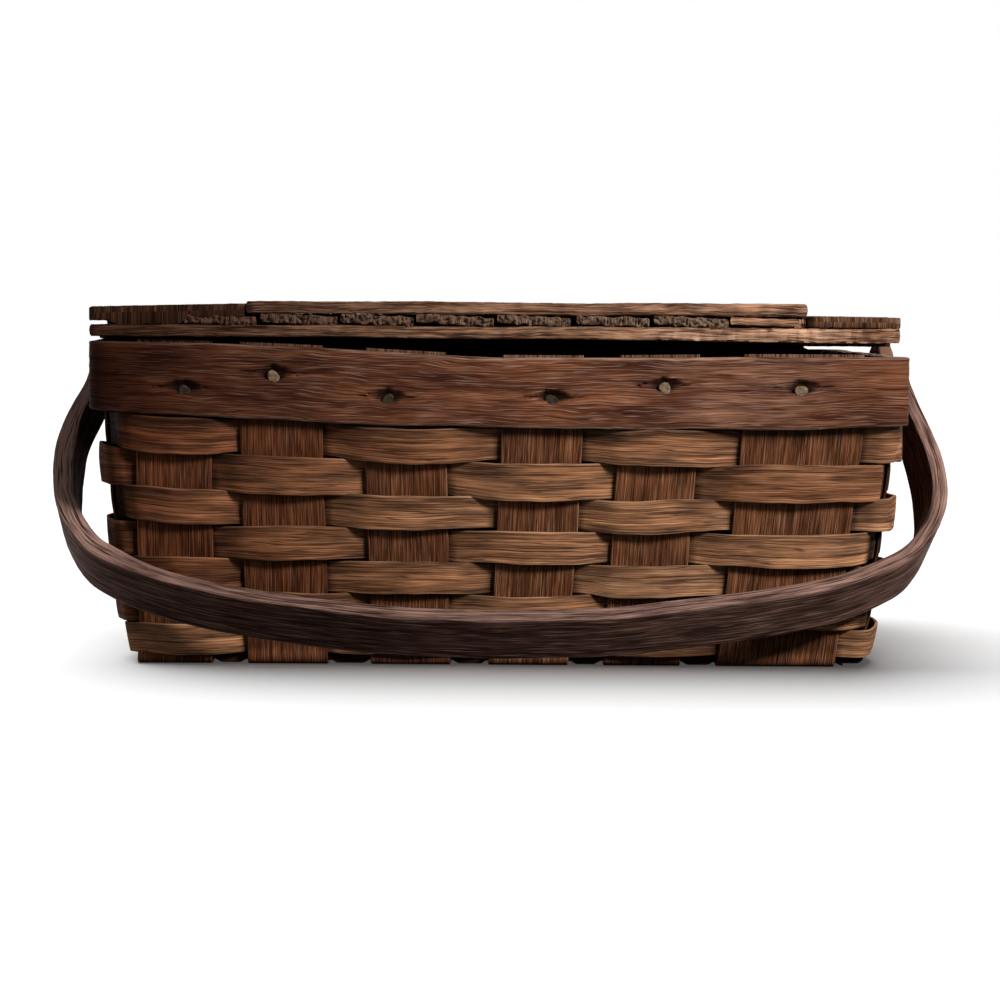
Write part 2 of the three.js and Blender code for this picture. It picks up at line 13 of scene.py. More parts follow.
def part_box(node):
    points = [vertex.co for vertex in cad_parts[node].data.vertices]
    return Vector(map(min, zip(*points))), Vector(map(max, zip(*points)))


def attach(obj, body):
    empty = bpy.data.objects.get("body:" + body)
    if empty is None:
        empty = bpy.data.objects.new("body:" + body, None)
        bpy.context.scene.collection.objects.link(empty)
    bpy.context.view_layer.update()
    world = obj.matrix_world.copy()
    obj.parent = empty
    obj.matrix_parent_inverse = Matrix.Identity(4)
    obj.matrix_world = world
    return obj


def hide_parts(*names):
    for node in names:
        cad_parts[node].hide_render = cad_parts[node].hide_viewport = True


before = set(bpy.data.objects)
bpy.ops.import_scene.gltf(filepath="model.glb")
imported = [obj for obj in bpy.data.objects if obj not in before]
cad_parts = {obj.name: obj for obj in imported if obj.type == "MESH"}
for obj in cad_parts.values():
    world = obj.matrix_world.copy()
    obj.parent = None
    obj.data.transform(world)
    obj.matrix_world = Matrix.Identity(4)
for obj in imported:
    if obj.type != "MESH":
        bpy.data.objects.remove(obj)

LOG = logging.getLogger("picnic_basket")
FULL_TURN = 6.28
WHITE = (1.0, 1.0, 1.0, 1.0)
Array = np.ndarray
Piece = bpy.types.Object
Socket = bpy.types.NodeSocket
Owner = Union[bpy.types.Material, bpy.types.World]
Number = Union[float, Array]
Colour = tuple[float, float, float]
Pairs = tuple[tuple[float, float], ...]
# A course gives a value at each place, and a field a value or a point for along, across and through a strip.
Course = Callable[[Number], Array]
Field = Callable[[Array, Array, Array], Array]


class Body(Enum):
    """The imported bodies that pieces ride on."""

    BASKET = "basket"
    HANDLE = "handle"
    LID = "lid"


class Slot(Enum):
    """The record's finish slots."""

    STAKE = "stake_splint"
    WEAVER = "weaver_splint"
    RIM = "rim_wood"
    NAIL = "nail_steel"
    LID_WOOD = "lid_wood"
    LID_SPLINT = "lid_splint"
    HANDLE = "handle_wood"


class Side(Enum):
    """The two ends of the basket, by the sign of X."""

    LEFT = -1
    RIGHT = 1


# Small helpers on runs of numbers

def soft_step(value: Number, start: float, end: float) -> Array:
    """Rises smoothly from 0 at start to 1 at end.

    Args:
        value: where to look.
        start: value that gives 0.
        end: value that gives 1.

    Returns:
        Numbers from 0 to 1.
    """
    share = np.clip((np.asarray(value, float) - start) / (end - start), 0.0, 1.0)
    return share * share * (3.0 - 2.0 * share)


def swell(run: Number, seed: int, length: float, height: float) -> Array:
    """An uneven wave along a run, the same each time for one seed.

    Args:
        run: places along the piece.
        seed: which wave.
        length: the longest wave in it.
        height: about how high it gets.

    Returns:
        One height for each place.
    """
    draw = np.random.default_rng(seed)
    total = np.zeros_like(np.asarray(run, float))
    for share in (1.0, 0.61, 0.37, 0.21):
        phase = draw.uniform(0, FULL_TURN)
        total += share * np.sin(2.0 * math.pi * np.asarray(run) / (length * share) + phase)
    return 0.6 * height * total


def crumble(first: Array, second: Array, seed: int, size: float, height: float) -> Array:
    """A lumpy field over two directions, as of torn wood.

    Args:
        first: place in one direction.
        second: place in the other.
        seed: which field.
        size: of the largest lumps.
        height: about how high they get.

    Returns:
        One height for each place.
    """
    draw = np.random.default_rng(seed)
    total = np.zeros_like(np.asarray(first, float))
    for _ in range(9):
        angle, wave = draw.uniform(0.0, FULL_TURN), FULL_TURN / (size * draw.uniform(0.25, 1.0))
        phase = draw.uniform(0.0, FULL_TURN)
        total += np.sin(wave * (first * math.cos(angle) + second * math.sin(angle)) + phase)
    return height * total / 3.0


def smoothed(values: Array, step: float, width: float) -> Array:
    """Rounds off a closed run of values.

    Args:
        values: one for each step along the run.
        step: distance between two values.
        width: how far the rounding reaches.

    Returns:
        As many values, rounded off.
    """
    waves = np.fft.rfftfreq(len(values), step)
    fade = np.exp(-2.0 * (math.pi * waves * width) ** 2)
    return np.fft.irfft(np.fft.rfft(values) * fade, len(values))


def distances(points: Array) -> Array:
    """Distance of each point along a flat line, from its first."""
    return np.concatenate([[0.0], np.cumsum(np.hypot(*np.diff(points, axis=0).T))])


def resampled(points: Array, count: int) -> tuple[Array, Array]:
    """Evenly spaced points along a flat line.

    Args:
        points: the line's corners.
        count: how many points to give.

    Returns:
        The distance of each point along the line, and the points.
    """
    run = distances(points)
    even = np.linspace(0.0, run[-1], count)
    return even, np.stack([np.interp(even, run, points[:, i]) for i in range(2)], -1)


def moved_out(along: Array, run: Array, points: Array, out: Array, depth: Array) -> list[Array]:
    """Both coordinates of places along a flat line, moved out from it.

    Args:
        along: the places.
        run: distance of each of the line's points.
        points: the line's points.
        out: the direction at each point.
        depth: how far to move.

    Returns:
        The first and the second coordinate of each place.
    """
    at = lambda values: np.interp(along, run, values)
    return [at(points[:, i]) + at(out[:, i]) * depth for i in range(2)]


def evenly(value: float) -> Field:
    """A field with one value all over."""
    return lambda along, across, through: value + 0.0 * along


def headings(points: Array) -> Array:
    """Unit direction of a flat line at each of its points."""
    way = np.gradient(points, axis=0)
    return way / np.linalg.norm(way, axis=1)[:, None]


# Finishes

class Graph:
    """The nodes of a material or of the world, with short ways to add and join them."""

    def __init__(self, owner: Owner) -> None:
        """Starts with no nodes.

        Args:
            owner: what the nodes belong to.
        """
        self.owner = owner
        owner.use_nodes = True
        self.tree = owner.node_tree
        self.tree.nodes.clear()

    def add(self, kind: str, inputs: Optional[dict] = None, **settings: Any) -> bpy.types.Node:
        """Adds a node.

        Args:
            kind: node type without its ShaderNode start.
            inputs: a socket to join or a value to set, by the input's name or number.
            settings: the node's own properties.

        Returns:
            The new node.
        """
        node = self.tree.nodes.new("ShaderNode" + kind)
        for key, value in settings.items():
            setattr(node, key, value)
        for key, value in (inputs or {}).items():
            if isinstance(value, Socket):
                self.tree.links.new(value, node.inputs[key])
            else:
                node.inputs[key].default_value = value
        return node

    def noise(self, where: Socket, size: Sequence[float], detail: float) -> Socket:
        """Cloudy noise whose features have the given size.

        Args:
            where: coordinates in metres.
            size: length of a feature along each axis, in metres.
            detail: how many finer octaves it has.

        Returns:
            Values around a half.
        """
        scale = [1.0 / length for length in size]
        scaled = self.add("Mapping", {"Vector": where, "Scale": scale})
        made = self.add("TexNoise", {"Vector": scaled.outputs[0], "Scale": 1.0, "Detail": detail,
                                     "Roughness": 0.6})
        return made.outputs["Fac"]

    def span(self, value: Socket, low: float, high: float, to_low: float = 0.0,
             to_high: float = 1.0) -> Socket:
        """Maps low..high to to_low..to_high, held at the ends."""
        made = self.add("MapRange", {"Value": value, "From Min": low, "From Max": high,
                                     "To Min": to_low, "To Max": to_high})
        return made.outputs["Result"]

    def math(self, kind: str, first: Any, second: Any) -> Socket:
        """One sum of two values, of which at least one varies."""
        return self.add("Math", {0: first, 1: second}, operation=kind).outputs[0]

    def mix(self, share: Any, first: Any, second: Any, blend: str = "MIX") -> Socket:
        """Mixes two colours.

        Args:
            share: how much of the second, as a socket or a number.
            first: a colour or a colour socket.
            second: a colour or a colour socket.
            blend: how the second goes over the first.

        Returns:
            The mixed colour.
        """
        inputs = {0: share}
        for key, value in ((6, first), (7, second)):
            inputs[key] = value if isinstance(value, Socket) else (*value, 1.0)
        return self.add("Mix", inputs, data_type="RGBA", blend_type=blend).outputs[2]

    def attribute(self, name: str) -> Socket:
        """A value stored on the piece's points."""
        return self.add("Attribute", attribute_name=name).outputs["Fac"]

    def seen(self) -> Socket:
        """Tells what the eye sees from what lights other things.

        Returns:
            1 for rays from the eye, off mirrors and through glass, 0 for all other light.
        """
        path = self.add("LightPath").outputs
        mirrored = self.math("MAXIMUM", path["Is Camera Ray"], path["Is Glossy Ray"])
        return self.math("MAXIMUM", mirrored, path["Is Transmission Ray"])

    def output(self, shader: bpy.types.Node, kind: str = "Material") -> Owner:
        """Joins the shader to the surface and returns what the nodes belong to."""
        self.add("Output" + kind, {"Surface": shader.outputs[0]})
        return self.owner


@dataclass(frozen=True)
class WoodFinish:
    """Old split wood whose grain follows each strip.

    Attributes:
        name: the material's name.
        dark: colour of the deep grain.
        body: main colour.
        pale: colour of the light grain.
        worn: colour of worn edges and cut ends.
        shaded: what the colours are multiplied by where the stain and the painted shade lie darkest.
        cool: what they are multiplied by in the darker patches.
        warm: what they are multiplied by in the lighter patches.
        streak: length and width of the broad grain.
        fibre: length and width of the fine grain.
        patch: length and width of the lighter and darker patches.
        fineness: share of the fine grain.
        sway: how far the grain wanders across.
        splits: how dark the hair splits are.
        flecks: share of pale raised fibres.
        pores: share of short dark pores.
        crumbly: whether its worn ends are torn to lumps instead of fibres.
        roughness: of the surface between its fibres.
        sheen: how much light the surface mirrors.
        relief: how deep the grain stands.
    """

    name: str
    dark: Colour
    body: Colour
    pale: Colour
    worn: Colour
    shaded: Colour = (0.34, 0.19, 0.15)
    cool: Colour = (0.52, 0.54, 0.58)
    warm: Colour = (1.50, 1.42, 1.30)
    streak: tuple[float, float] = (0.12, 0.0022)
    fibre: tuple[float, float] = (0.045, 0.0005)
    patch: tuple[float, float] = (0.05, 0.010)
    fineness: float = 0.5
    sway: float = 0.0012
    splits: float = 0.6
    flecks: float = 0.35
    pores: float = 0.5
    crumbly: bool = False
    roughness: float = 0.62
    sheen: float = 0.02
    relief: float = 0.0004

    def make(self) -> bpy.types.Material:
        """Builds the material.

        Returns:
            A material that reads the Grain map and the wear with painted light, the painted shade and the
            tone values of a strip.
        """
        graph = Graph(bpy.data.materials.new(self.name))
        grain = graph.add("UVMap", uv_map="Grain").outputs[0]
        drift = graph.noise(grain, (0.05, 0.012, 1.0), 2.0)
        aside = graph.math("MULTIPLY", graph.math("SUBTRACT", drift, 0.5), 2.0 * self.sway)
        step = graph.add("CombineXYZ", {"Y": aside}).outputs[0]
        lines = graph.add("VectorMath", {0: grain, 1: step}, operation="ADD").outputs[0]
        broad = graph.noise(grain, (*self.patch, 1.0), 3.0)
        streak = graph.noise(lines, (*self.streak, 1.0), 3.0)
        fibre = graph.noise(lines, (*self.fibre, 1.0), 2.0)
        split = graph.noise(lines, (3.0 * self.fibre[0], 4.5 * self.fibre[1], 1.0), 1.0)
        fleck = graph.noise(lines, (0.75 * self.fibre[0], 0.95 * self.fibre[1], 1.0), 1.0)

        mixed = graph.add("Mix", {0: self.fineness, 2: streak, 3: fibre}, data_type="FLOAT").outputs[0]
        if self.crumbly:
            lumps = graph.noise(graph.add("TexCoord").outputs["Object"], (0.0026, 0.0026, 0.0020), 2.0)
            torn = graph.math("MULTIPLY", graph.attribute("wear_and_lit"), 0.75)
            mixed = graph.add("Mix", {0: torn, 2: mixed, 3: lumps}, data_type="FLOAT").outputs[0]
        ramp = graph.add("ValToRGB", {"Fac": mixed})
        stops = ramp.color_ramp.elements
        stops[0].position, stops[0].color = 0.39, (*self.dark, 1.0)
        stops[1].position, stops[1].color = 0.61, (*self.pale, 1.0)
        middle = stops.new(0.5)
        middle.color = (*self.body, 1.0)

        shade = graph.mix(graph.span(broad, 0.34, 0.66), self.cool, self.warm)
        colour = graph.mix(1.0, ramp.outputs[0], shade, "MULTIPLY")
        hair = graph.math("ABSOLUTE", graph.math("SUBTRACT", split, 0.5), 0.0)
        open_split = graph.span(hair, 0.004, 0.020, self.splits, 0.0)
        colour = graph.mix(open_split, colour, self.dark)
        raised = graph.span(fleck, 0.57, 0.65, 0.0, self.flecks)
        colour = graph.mix(raised, colour, self.worn)
        colour = graph.mix(graph.span(fleck, 0.42, 0.34, 0.0, self.pores), colour, self.dark)
        # Wear mixes in the worn colour; on the handle's left leg this is painted light.
        rubbed_and_lit = graph.math("MULTIPLY", graph.attribute("wear_and_lit"), graph.span(mixed, 0.42, 0.58, 0.0, 1.0))
        rubbed_and_lit = graph.math("MULTIPLY", rubbed_and_lit, graph.span(broad, 0.36, 0.58, 0.35, 1.0))
        colour = graph.mix(rubbed_and_lit, colour, self.worn)
        # Tone: stain, with painted shade towards the left end and painted light lifting some parts.
        stain_and_shade = graph.mix(graph.attribute("tone"), self.shaded, (1.0, 1.0, 1.0))
        colour = graph.mix(1.0, colour, stain_and_shade, "MULTIPLY")
        # Painted shade: this value mixes the colour towards near black where shadow falls, in hollows and
        # under and behind other parts.
        painted_shade_share = graph.math("MULTIPLY", graph.attribute("painted_shade"), 0.96)
        colour = graph.mix(painted_shade_share, colour, (0.0025, 0.0016, 0.0013))

        raised = graph.math("ADD", fibre, graph.math("MULTIPLY", streak, 0.8))
        height = graph.math("SUBTRACT", raised, open_split)
        bump = graph.add("Bump", {"Height": height, "Distance": self.relief, "Strength": 0.9})
        rough = graph.span(mixed, 0.38, 0.62, self.roughness + 0.14, self.roughness - 0.08)
        shader = graph.add("BsdfPrincipled", {"Base Color": colour, "Roughness": rough, "IOR": 1.45,
                                              "Specular IOR Level": self.sheen, "Normal": bump.outputs[0]})
        return graph.output(shader)


@dataclass(frozen=True)
class MetalFinish:
    """Old steel, dulled and spotted.

    Attributes:
        name: the material's name.
        bright: colour where it is rubbed.
        dull: colour where it is tarnished.
        metal: how metallic it looks where it is rubbed.
        roughness: where it is rubbed.
    """

    name: str
    bright: Colour
    dull: Colour
    metal: float = 0.85
    roughness: float = 0.42

    def make(self) -> bpy.types.Material:
        """Builds the material, which reads Object coordinates.

        Returns:
            The material.
        """
        graph = Graph(bpy.data.materials.new(self.name))
        where = graph.add("TexCoord").outputs["Object"]
        spots = graph.noise(where, (0.0016, 0.0016, 0.0016), 5.0)
        pits = graph.noise(where, (0.0005, 0.0005, 0.0005), 2.0)
        tarnish = graph.span(spots, 0.36, 0.62)
        colour = graph.mix(tarnish, self.bright, self.dull)
        metal = graph.span(tarnish, 0.0, 1.0, self.metal, 0.4 * self.metal)
        rough = graph.span(tarnish, 0.0, 1.0, self.roughness, self.roughness + 0.3)
        bump = graph.add("Bump", {"Height": pits, "Distance": 0.0002, "Strength": 0.6})
        shader = graph.add("BsdfPrincipled", {"Base Color": colour, "Metallic": metal, "Roughness": rough,
                                              "Specular IOR Level": 0.08, "Normal": bump.outputs[0]})
        return graph.output(shader)


RIM_WOOD = WoodFinish("dark_rim_wood", dark=(0.033, 0.0118, 0.0074), body=(0.076, 0.0300, 0.0180),
                      pale=(0.125, 0.056, 0.033), worn=(0.265, 0.170, 0.130), cool=(0.50, 0.42, 0.42),
                      warm=(1.75, 1.58, 1.26), shaded=(0.13, 0.066, 0.052), streak=(0.07, 0.0024),
                      fibre=(0.026, 0.0006), patch=(0.055, 0.013), fineness=0.6, sway=0.0034, flecks=0.42,
                      splits=0.55)
STAKE_WOOD = WoodFinish("red_stake_splint", dark=(0.030, 0.0106, 0.0054), body=(0.082, 0.0318, 0.0150),
                        pale=(0.165, 0.070, 0.0335), worn=(0.280, 0.165, 0.112), cool=(0.58, 0.56, 0.54),
                        warm=(1.40, 1.34, 1.24), shaded=(0.62, 0.46, 0.40), streak=(0.12, 0.0018),
                        fibre=(0.030, 0.0006), patch=(0.03, 0.010), fineness=0.6, sway=0.0005, flecks=0.40,
                        splits=0.55)
WEAVER_WOOD = WoodFinish("tan_weaver_splint", dark=(0.070, 0.0312, 0.0166), body=(0.184, 0.0880, 0.0475),
                         pale=(0.335, 0.174, 0.0950), worn=(0.430, 0.258, 0.158), cool=(0.40, 0.41, 0.45),
                         warm=(1.80, 1.72, 1.54), shaded=(0.34, 0.225, 0.195), streak=(0.10, 0.0028),
                         fibre=(0.036, 0.0006), patch=(0.042, 0.0075), fineness=0.55, sway=0.0010,
                         flecks=0.24, splits=0.75)
HANDLE_WOOD = WoodFinish("bent_handle_wood", dark=(0.019, 0.0084, 0.0067), body=(0.046, 0.0222, 0.0178),
                         pale=(0.085, 0.046, 0.037), worn=(0.236, 0.146, 0.120), fibre=(0.034, 0.0008),
                         streak=(0.08, 0.0028), patch=(0.03, 0.006), fineness=0.6, sway=0.0010,
                         flecks=0.5, splits=0.6, roughness=0.55)
LID_WOOD = WoodFinish("lid_strip_wood", dark=(0.036, 0.0140, 0.0074), body=(0.100, 0.0445, 0.0240),
                      pale=(0.205, 0.106, 0.062), worn=(0.430, 0.270, 0.185), shaded=(0.10, 0.068, 0.055),
                      streak=(0.05, 0.0024), fibre=(0.020, 0.0007), patch=(0.022, 0.006), sway=0.002)
LID_SPLINT = WoodFinish("torn_lid_splint", dark=(0.044, 0.028, 0.0195), body=(0.092, 0.0575, 0.0400),
                        pale=(0.150, 0.098, 0.069), worn=(0.118, 0.076, 0.055), streak=(0.05, 0.0024),
                        fibre=(0.022, 0.0007), crumbly=True, relief=0.0007, roughness=0.75)
NAIL_STEEL = MetalFinish("dull_nail_steel", bright=(0.140, 0.098, 0.060), dull=(0.066, 0.046, 0.028),
                         metal=0.1, roughness=0.65)
# A darker copy of the nail steel for the deep nails: painted shade.
NAIL_SHADED = MetalFinish("shaded_nail_steel", bright=(0.032, 0.024, 0.016), dull=(0.013, 0.009, 0.006),
                        metal=0.1, roughness=0.65)
HINGE_STEEL = MetalFinish("dark_hinge_wire", bright=(0.24, 0.22, 0.20), dull=(0.06, 0.045, 0.035))
Finish = Union[WoodFinish, MetalFinish]


class Finishes:
    """The materials, each made once."""

    def __init__(self) -> None:
        """Starts with none made."""
        self.made: dict[str, bpy.types.Material] = {}

    def get(self, finish: Finish) -> bpy.types.Material:
        """The material of a finish."""
        if finish.name not in self.made:
            self.made[finish.name] = finish.make()
        return self.made[finish.name]


FINISHES = Finishes()


def hand_over(piece: Piece, finish: Finish, body: Body, nodes: Sequence[str]) -> None:
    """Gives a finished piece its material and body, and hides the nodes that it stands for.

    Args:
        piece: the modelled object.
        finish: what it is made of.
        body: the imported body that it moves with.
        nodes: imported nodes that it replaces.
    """
    piece.data.materials.clear()
    piece.data.materials.append(FINISHES.get(finish))
    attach(piece, body.value)
    if nodes:
        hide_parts(*nodes)
    LOG.info("%s: %d faces on %s", piece.name, len(piece.data.polygons), body.value)


# Split wood strips

@dataclass
class Strip:
    """A split wood strip with rounded edges, laid along any line.

    Attributes:
        name: the piece's name.
        run: stations along the strip.
        low: its lower edge across, at each station.
        high: its upper edge across, at each station.
        thickness: at each station.
        place: gives points from run, across and through.
        columns: faces across each broad face.
        edge: rounding of its long edges.
        seed: picks its own part of the grain.
        relief: extra height through the strip, from run, across and through.
        painted_shade: painted shade from 0 to 1, from run, across and through.
        tone: stain, with painted shade and painted light on some pieces, from 0, darkest, to 1, at each
            station.
        torn: how far fibres are torn back at its start and end.
        end_wear: how worn the cut ends are.
        edge_wear_and_lit: how worn the long edges are, with painted light on some pieces, at each station.
        end_reach: how far in from the ends the wear goes.
        rubbed_and_lit: wear all over, with painted light on some pieces, at each station.
        blunt: whether its start is a blunt torn face instead of a cut one.
    """

    name: str
    run: Array
    low: Number
    high: Number
    thickness: Number
    place: Field
    columns: int = 8
    edge: float = 0.0006
    seed: int = 0
    relief: Optional[Field] = None
    painted_shade: Optional[Field] = None
    tone: Number = 1.0
    torn: tuple[float, float] = (0.0, 0.0)
    end_wear: float = 1.0
    edge_wear_and_lit: Number = 1.0
    end_reach: float = 0.003
    rubbed_and_lit: Number = 0.0
    blunt: bool = False

    def section(self) -> Array:
        """Outline of the strip's section.

        Returns:
            Rows of face share across, edge share across, flat share through and edge share through.
        """
        widest = float(np.max(np.subtract(self.high, self.low))) / 2.0
        margin = min(1.0 / self.columns, self.edge / widest)
        inner = np.linspace(-1.0, 1.0, self.columns + 1)[1:-1]
        faces = np.concatenate([[-1.0, margin - 1.0], inner, [1.0 - margin, 1.0]])
        half = math.sqrt(0.5)
        rows = [(a, 0.0, 1.0, 1.0) for a in faces]
        edge = [(1.0, half, 1.0, half), (1.0, 1.0, 1.0, 0.0), (1.0, 1.0, -1.0, 0.0), (1.0, half, -1.0, -half)]
        rows += edge
        rows += [(a, 0.0, -1.0, -1.0) for a in faces[::-1]]
        rows += [tuple(-share for share in row) for row in edge]
        return np.array([*rows, rows[0]])

    def stations(self) -> tuple[Array, Array]:
        """The run with its closed ends.

        Returns:
            The stations, and the share of the thickness that each has.
        """
        first, last = self.run[0], self.run[-1]
        steps, shares = self.edge * np.array([0.0, 0.35, 1.0]), np.array([0.0, 0.75, 1.0])
        start_shares = np.array([0.0, 0.2, 0.4, 0.6, 0.78, 0.92, 1.0]) if self.blunt else shares
        start_steps = self.edge * np.linspace(0.0, 1.0, 7) ** 3 if self.blunt else steps
        inner = self.run[(self.run > first + 1.5 * self.edge) & (self.run < last - 1.5 * self.edge)]
        run = np.concatenate([first + start_steps, inner, last - steps[::-1]])
        full = np.concatenate([start_shares, np.ones(len(inner)), shares[::-1]])
        return run, full

    def at(self, values: Number, run: Array) -> Array:
        """What is given for the strip's own stations, at others."""
        return np.interp(run, self.run, np.broadcast_to(values, self.run.shape))

    def build(self) -> Piece:
        """Models the strip: a grid is laid round the section and along the run, then closed.

        Returns:
            The strip's object, at the origin.
        """
        section = self.section()
        run, full = self.stations()
        low, high, thick = (self.at(values, run) for values in (self.low, self.high, self.thickness))
        edge = np.minimum(self.edge, 0.42 * thick)
        middle, half = (low + high) / 2.0, np.maximum((high - low) / 2.0, 1e-5)
        edge_across = np.minimum(edge, 0.9 * half)[:, None]
        across = middle[:, None] + section[:, 0] * (half[:, None] - edge_across) + section[:, 1] * edge_across
        through = section[:, 2] * (thick / 2.0 - edge)[:, None] + section[:, 3] * edge[:, None]
        through = through * full[:, None]
        along = self.tear(np.broadcast_to(run[:, None], across.shape), section)
        rise = through
        if self.relief is not None:
            rise = rise + self.relief(along, across, through) * np.minimum(1.0, 4.0 * full)[:, None]
        points = self.place(along, across, rise)
        return self.mesh(points, along, self.around(across, through), section, run)

    def tear(self, along: Array, section: Array) -> Array:
        """Pulls fibres back unevenly at the torn ends.

        Args:
            along: run of each point.
            section: the outline.

        Returns:
            The run of each point with ragged ends.
        """
        draw = np.random.default_rng(self.seed + 71)
        ragged = draw.uniform(0.0, 1.0, self.columns + 1)
        ragged = np.interp(section[:, 0], np.linspace(-1.0, 1.0, self.columns + 1), ragged)
        start, end = self.run[0], self.run[-1]
        reach = min(0.012, 0.3 * (end - start))
        near_start = 1.0 - np.clip((along - start) / reach, 0.0, 1.0)
        near_end = 1.0 - np.clip((end - along) / reach, 0.0, 1.0)
        return along + self.torn[0] * ragged * near_start - self.torn[1] * ragged * near_end

    def around(self, across: Array, through: Array) -> Array:
        """Distance round the section of each column, for the grain."""
        widest = int(np.argmax(across.max(1) - across.min(1)))
        return distances(np.stack([across[widest], through[widest]], -1))

    def mesh(self, points: Array, along: Array, around: Array, section: Array,
             run: Array) -> Piece:
        """Shapes a grid into the strip and closes it.

        Args:
            points: place of each grid point.
            along: run of each grid point.
            around: distance round the section of each column.
            section: the outline.
            run: the stations.

        Returns:
            The strip's object.
        """
        rows, columns = points.shape[:2]
        bpy.ops.object.select_all(action="DESELECT")
        bpy.ops.mesh.primitive_grid_add(x_subdivisions=columns - 1, y_subdivisions=rows - 1, size=1.0)
        piece = bpy.context.active_object
        piece.name = self.name
        mesh = piece.data
        mesh.name = self.name
        mesh.vertices.foreach_set("co", points.reshape(-1).astype(np.float32))
        self.lay_grain(mesh, along, np.broadcast_to(around, along.shape))
        self.mark(mesh, along, section, run)
        bpy.ops.object.mode_set(mode="EDIT")
        bpy.ops.mesh.select_all(action="SELECT")
        bpy.ops.mesh.remove_doubles(threshold=1e-6)
        bpy.ops.mesh.normals_make_consistent(inside=False)
        bpy.ops.object.mode_set(mode="OBJECT")
        bpy.ops.object.shade_smooth_by_angle(angle=math.radians(50.0))
        return piece

    def lay_grain(self, mesh: bpy.types.Mesh, along: Array, around: Array) -> None:
        """Writes the Grain map: metres along and round the strip, shifted to its own part of the grain.

        Args:
            mesh: the grid.
            along: run of each grid point.
            around: distance round the section of each grid point.
        """
        shift = np.random.default_rng(self.seed).uniform(0.0, 5.0, 2)
        corner = np.zeros(len(mesh.loops), int)
        mesh.loops.foreach_get("vertex_index", corner)
        grain = np.stack([along + shift[0], around + shift[1]], -1).reshape(-1, 2)
        layer = mesh.uv_layers[0]
        layer.name = "Grain"
        layer.data.foreach_set("uv", grain[corner].reshape(-1).astype(np.float32))

    def mark(self, mesh: bpy.types.Mesh, along: Array, section: Array, run: Array) -> None:
        """Writes the wear with painted light, the painted shade and the tone of each grid point.

        Args:
            mesh: the grid.
            along: run of each grid point.
            section: the outline.
            run: the stations.
        """
        ones = np.ones_like(along)
        rubbed_and_lit = np.where(np.abs(section[:, 1]) > 0.0, 1.0, np.where(np.abs(section[:, 0]) > 0.999, 0.7, 0.0))
        from_end = np.minimum(run - run[0], run[-1] - run)
        ends = self.end_wear * (1.0 - soft_step(from_end, 0.0, self.end_reach))
        ends = np.maximum(ends, self.at(self.rubbed_and_lit, run))
        painted_shade = 0.0 * ones
        if self.painted_shade is not None:
            painted_shade = np.clip(self.painted_shade(along, section[:, 0] * ones, section[:, 2] * ones), 0.0, 1.0)
        wear_and_lit = np.maximum(self.at(self.edge_wear_and_lit, run)[:, None] * rubbed_and_lit, ends[:, None])
        marks = {"wear_and_lit": wear_and_lit, "painted_shade": painted_shade, "tone": self.at(self.tone, run)[:, None] * ones}
        for name, values in marks.items():
            made = mesh.attributes.new(name, "FLOAT", "POINT")
            made.data.foreach_set("value", values.reshape(-1).astype(np.float32))


# The woven body

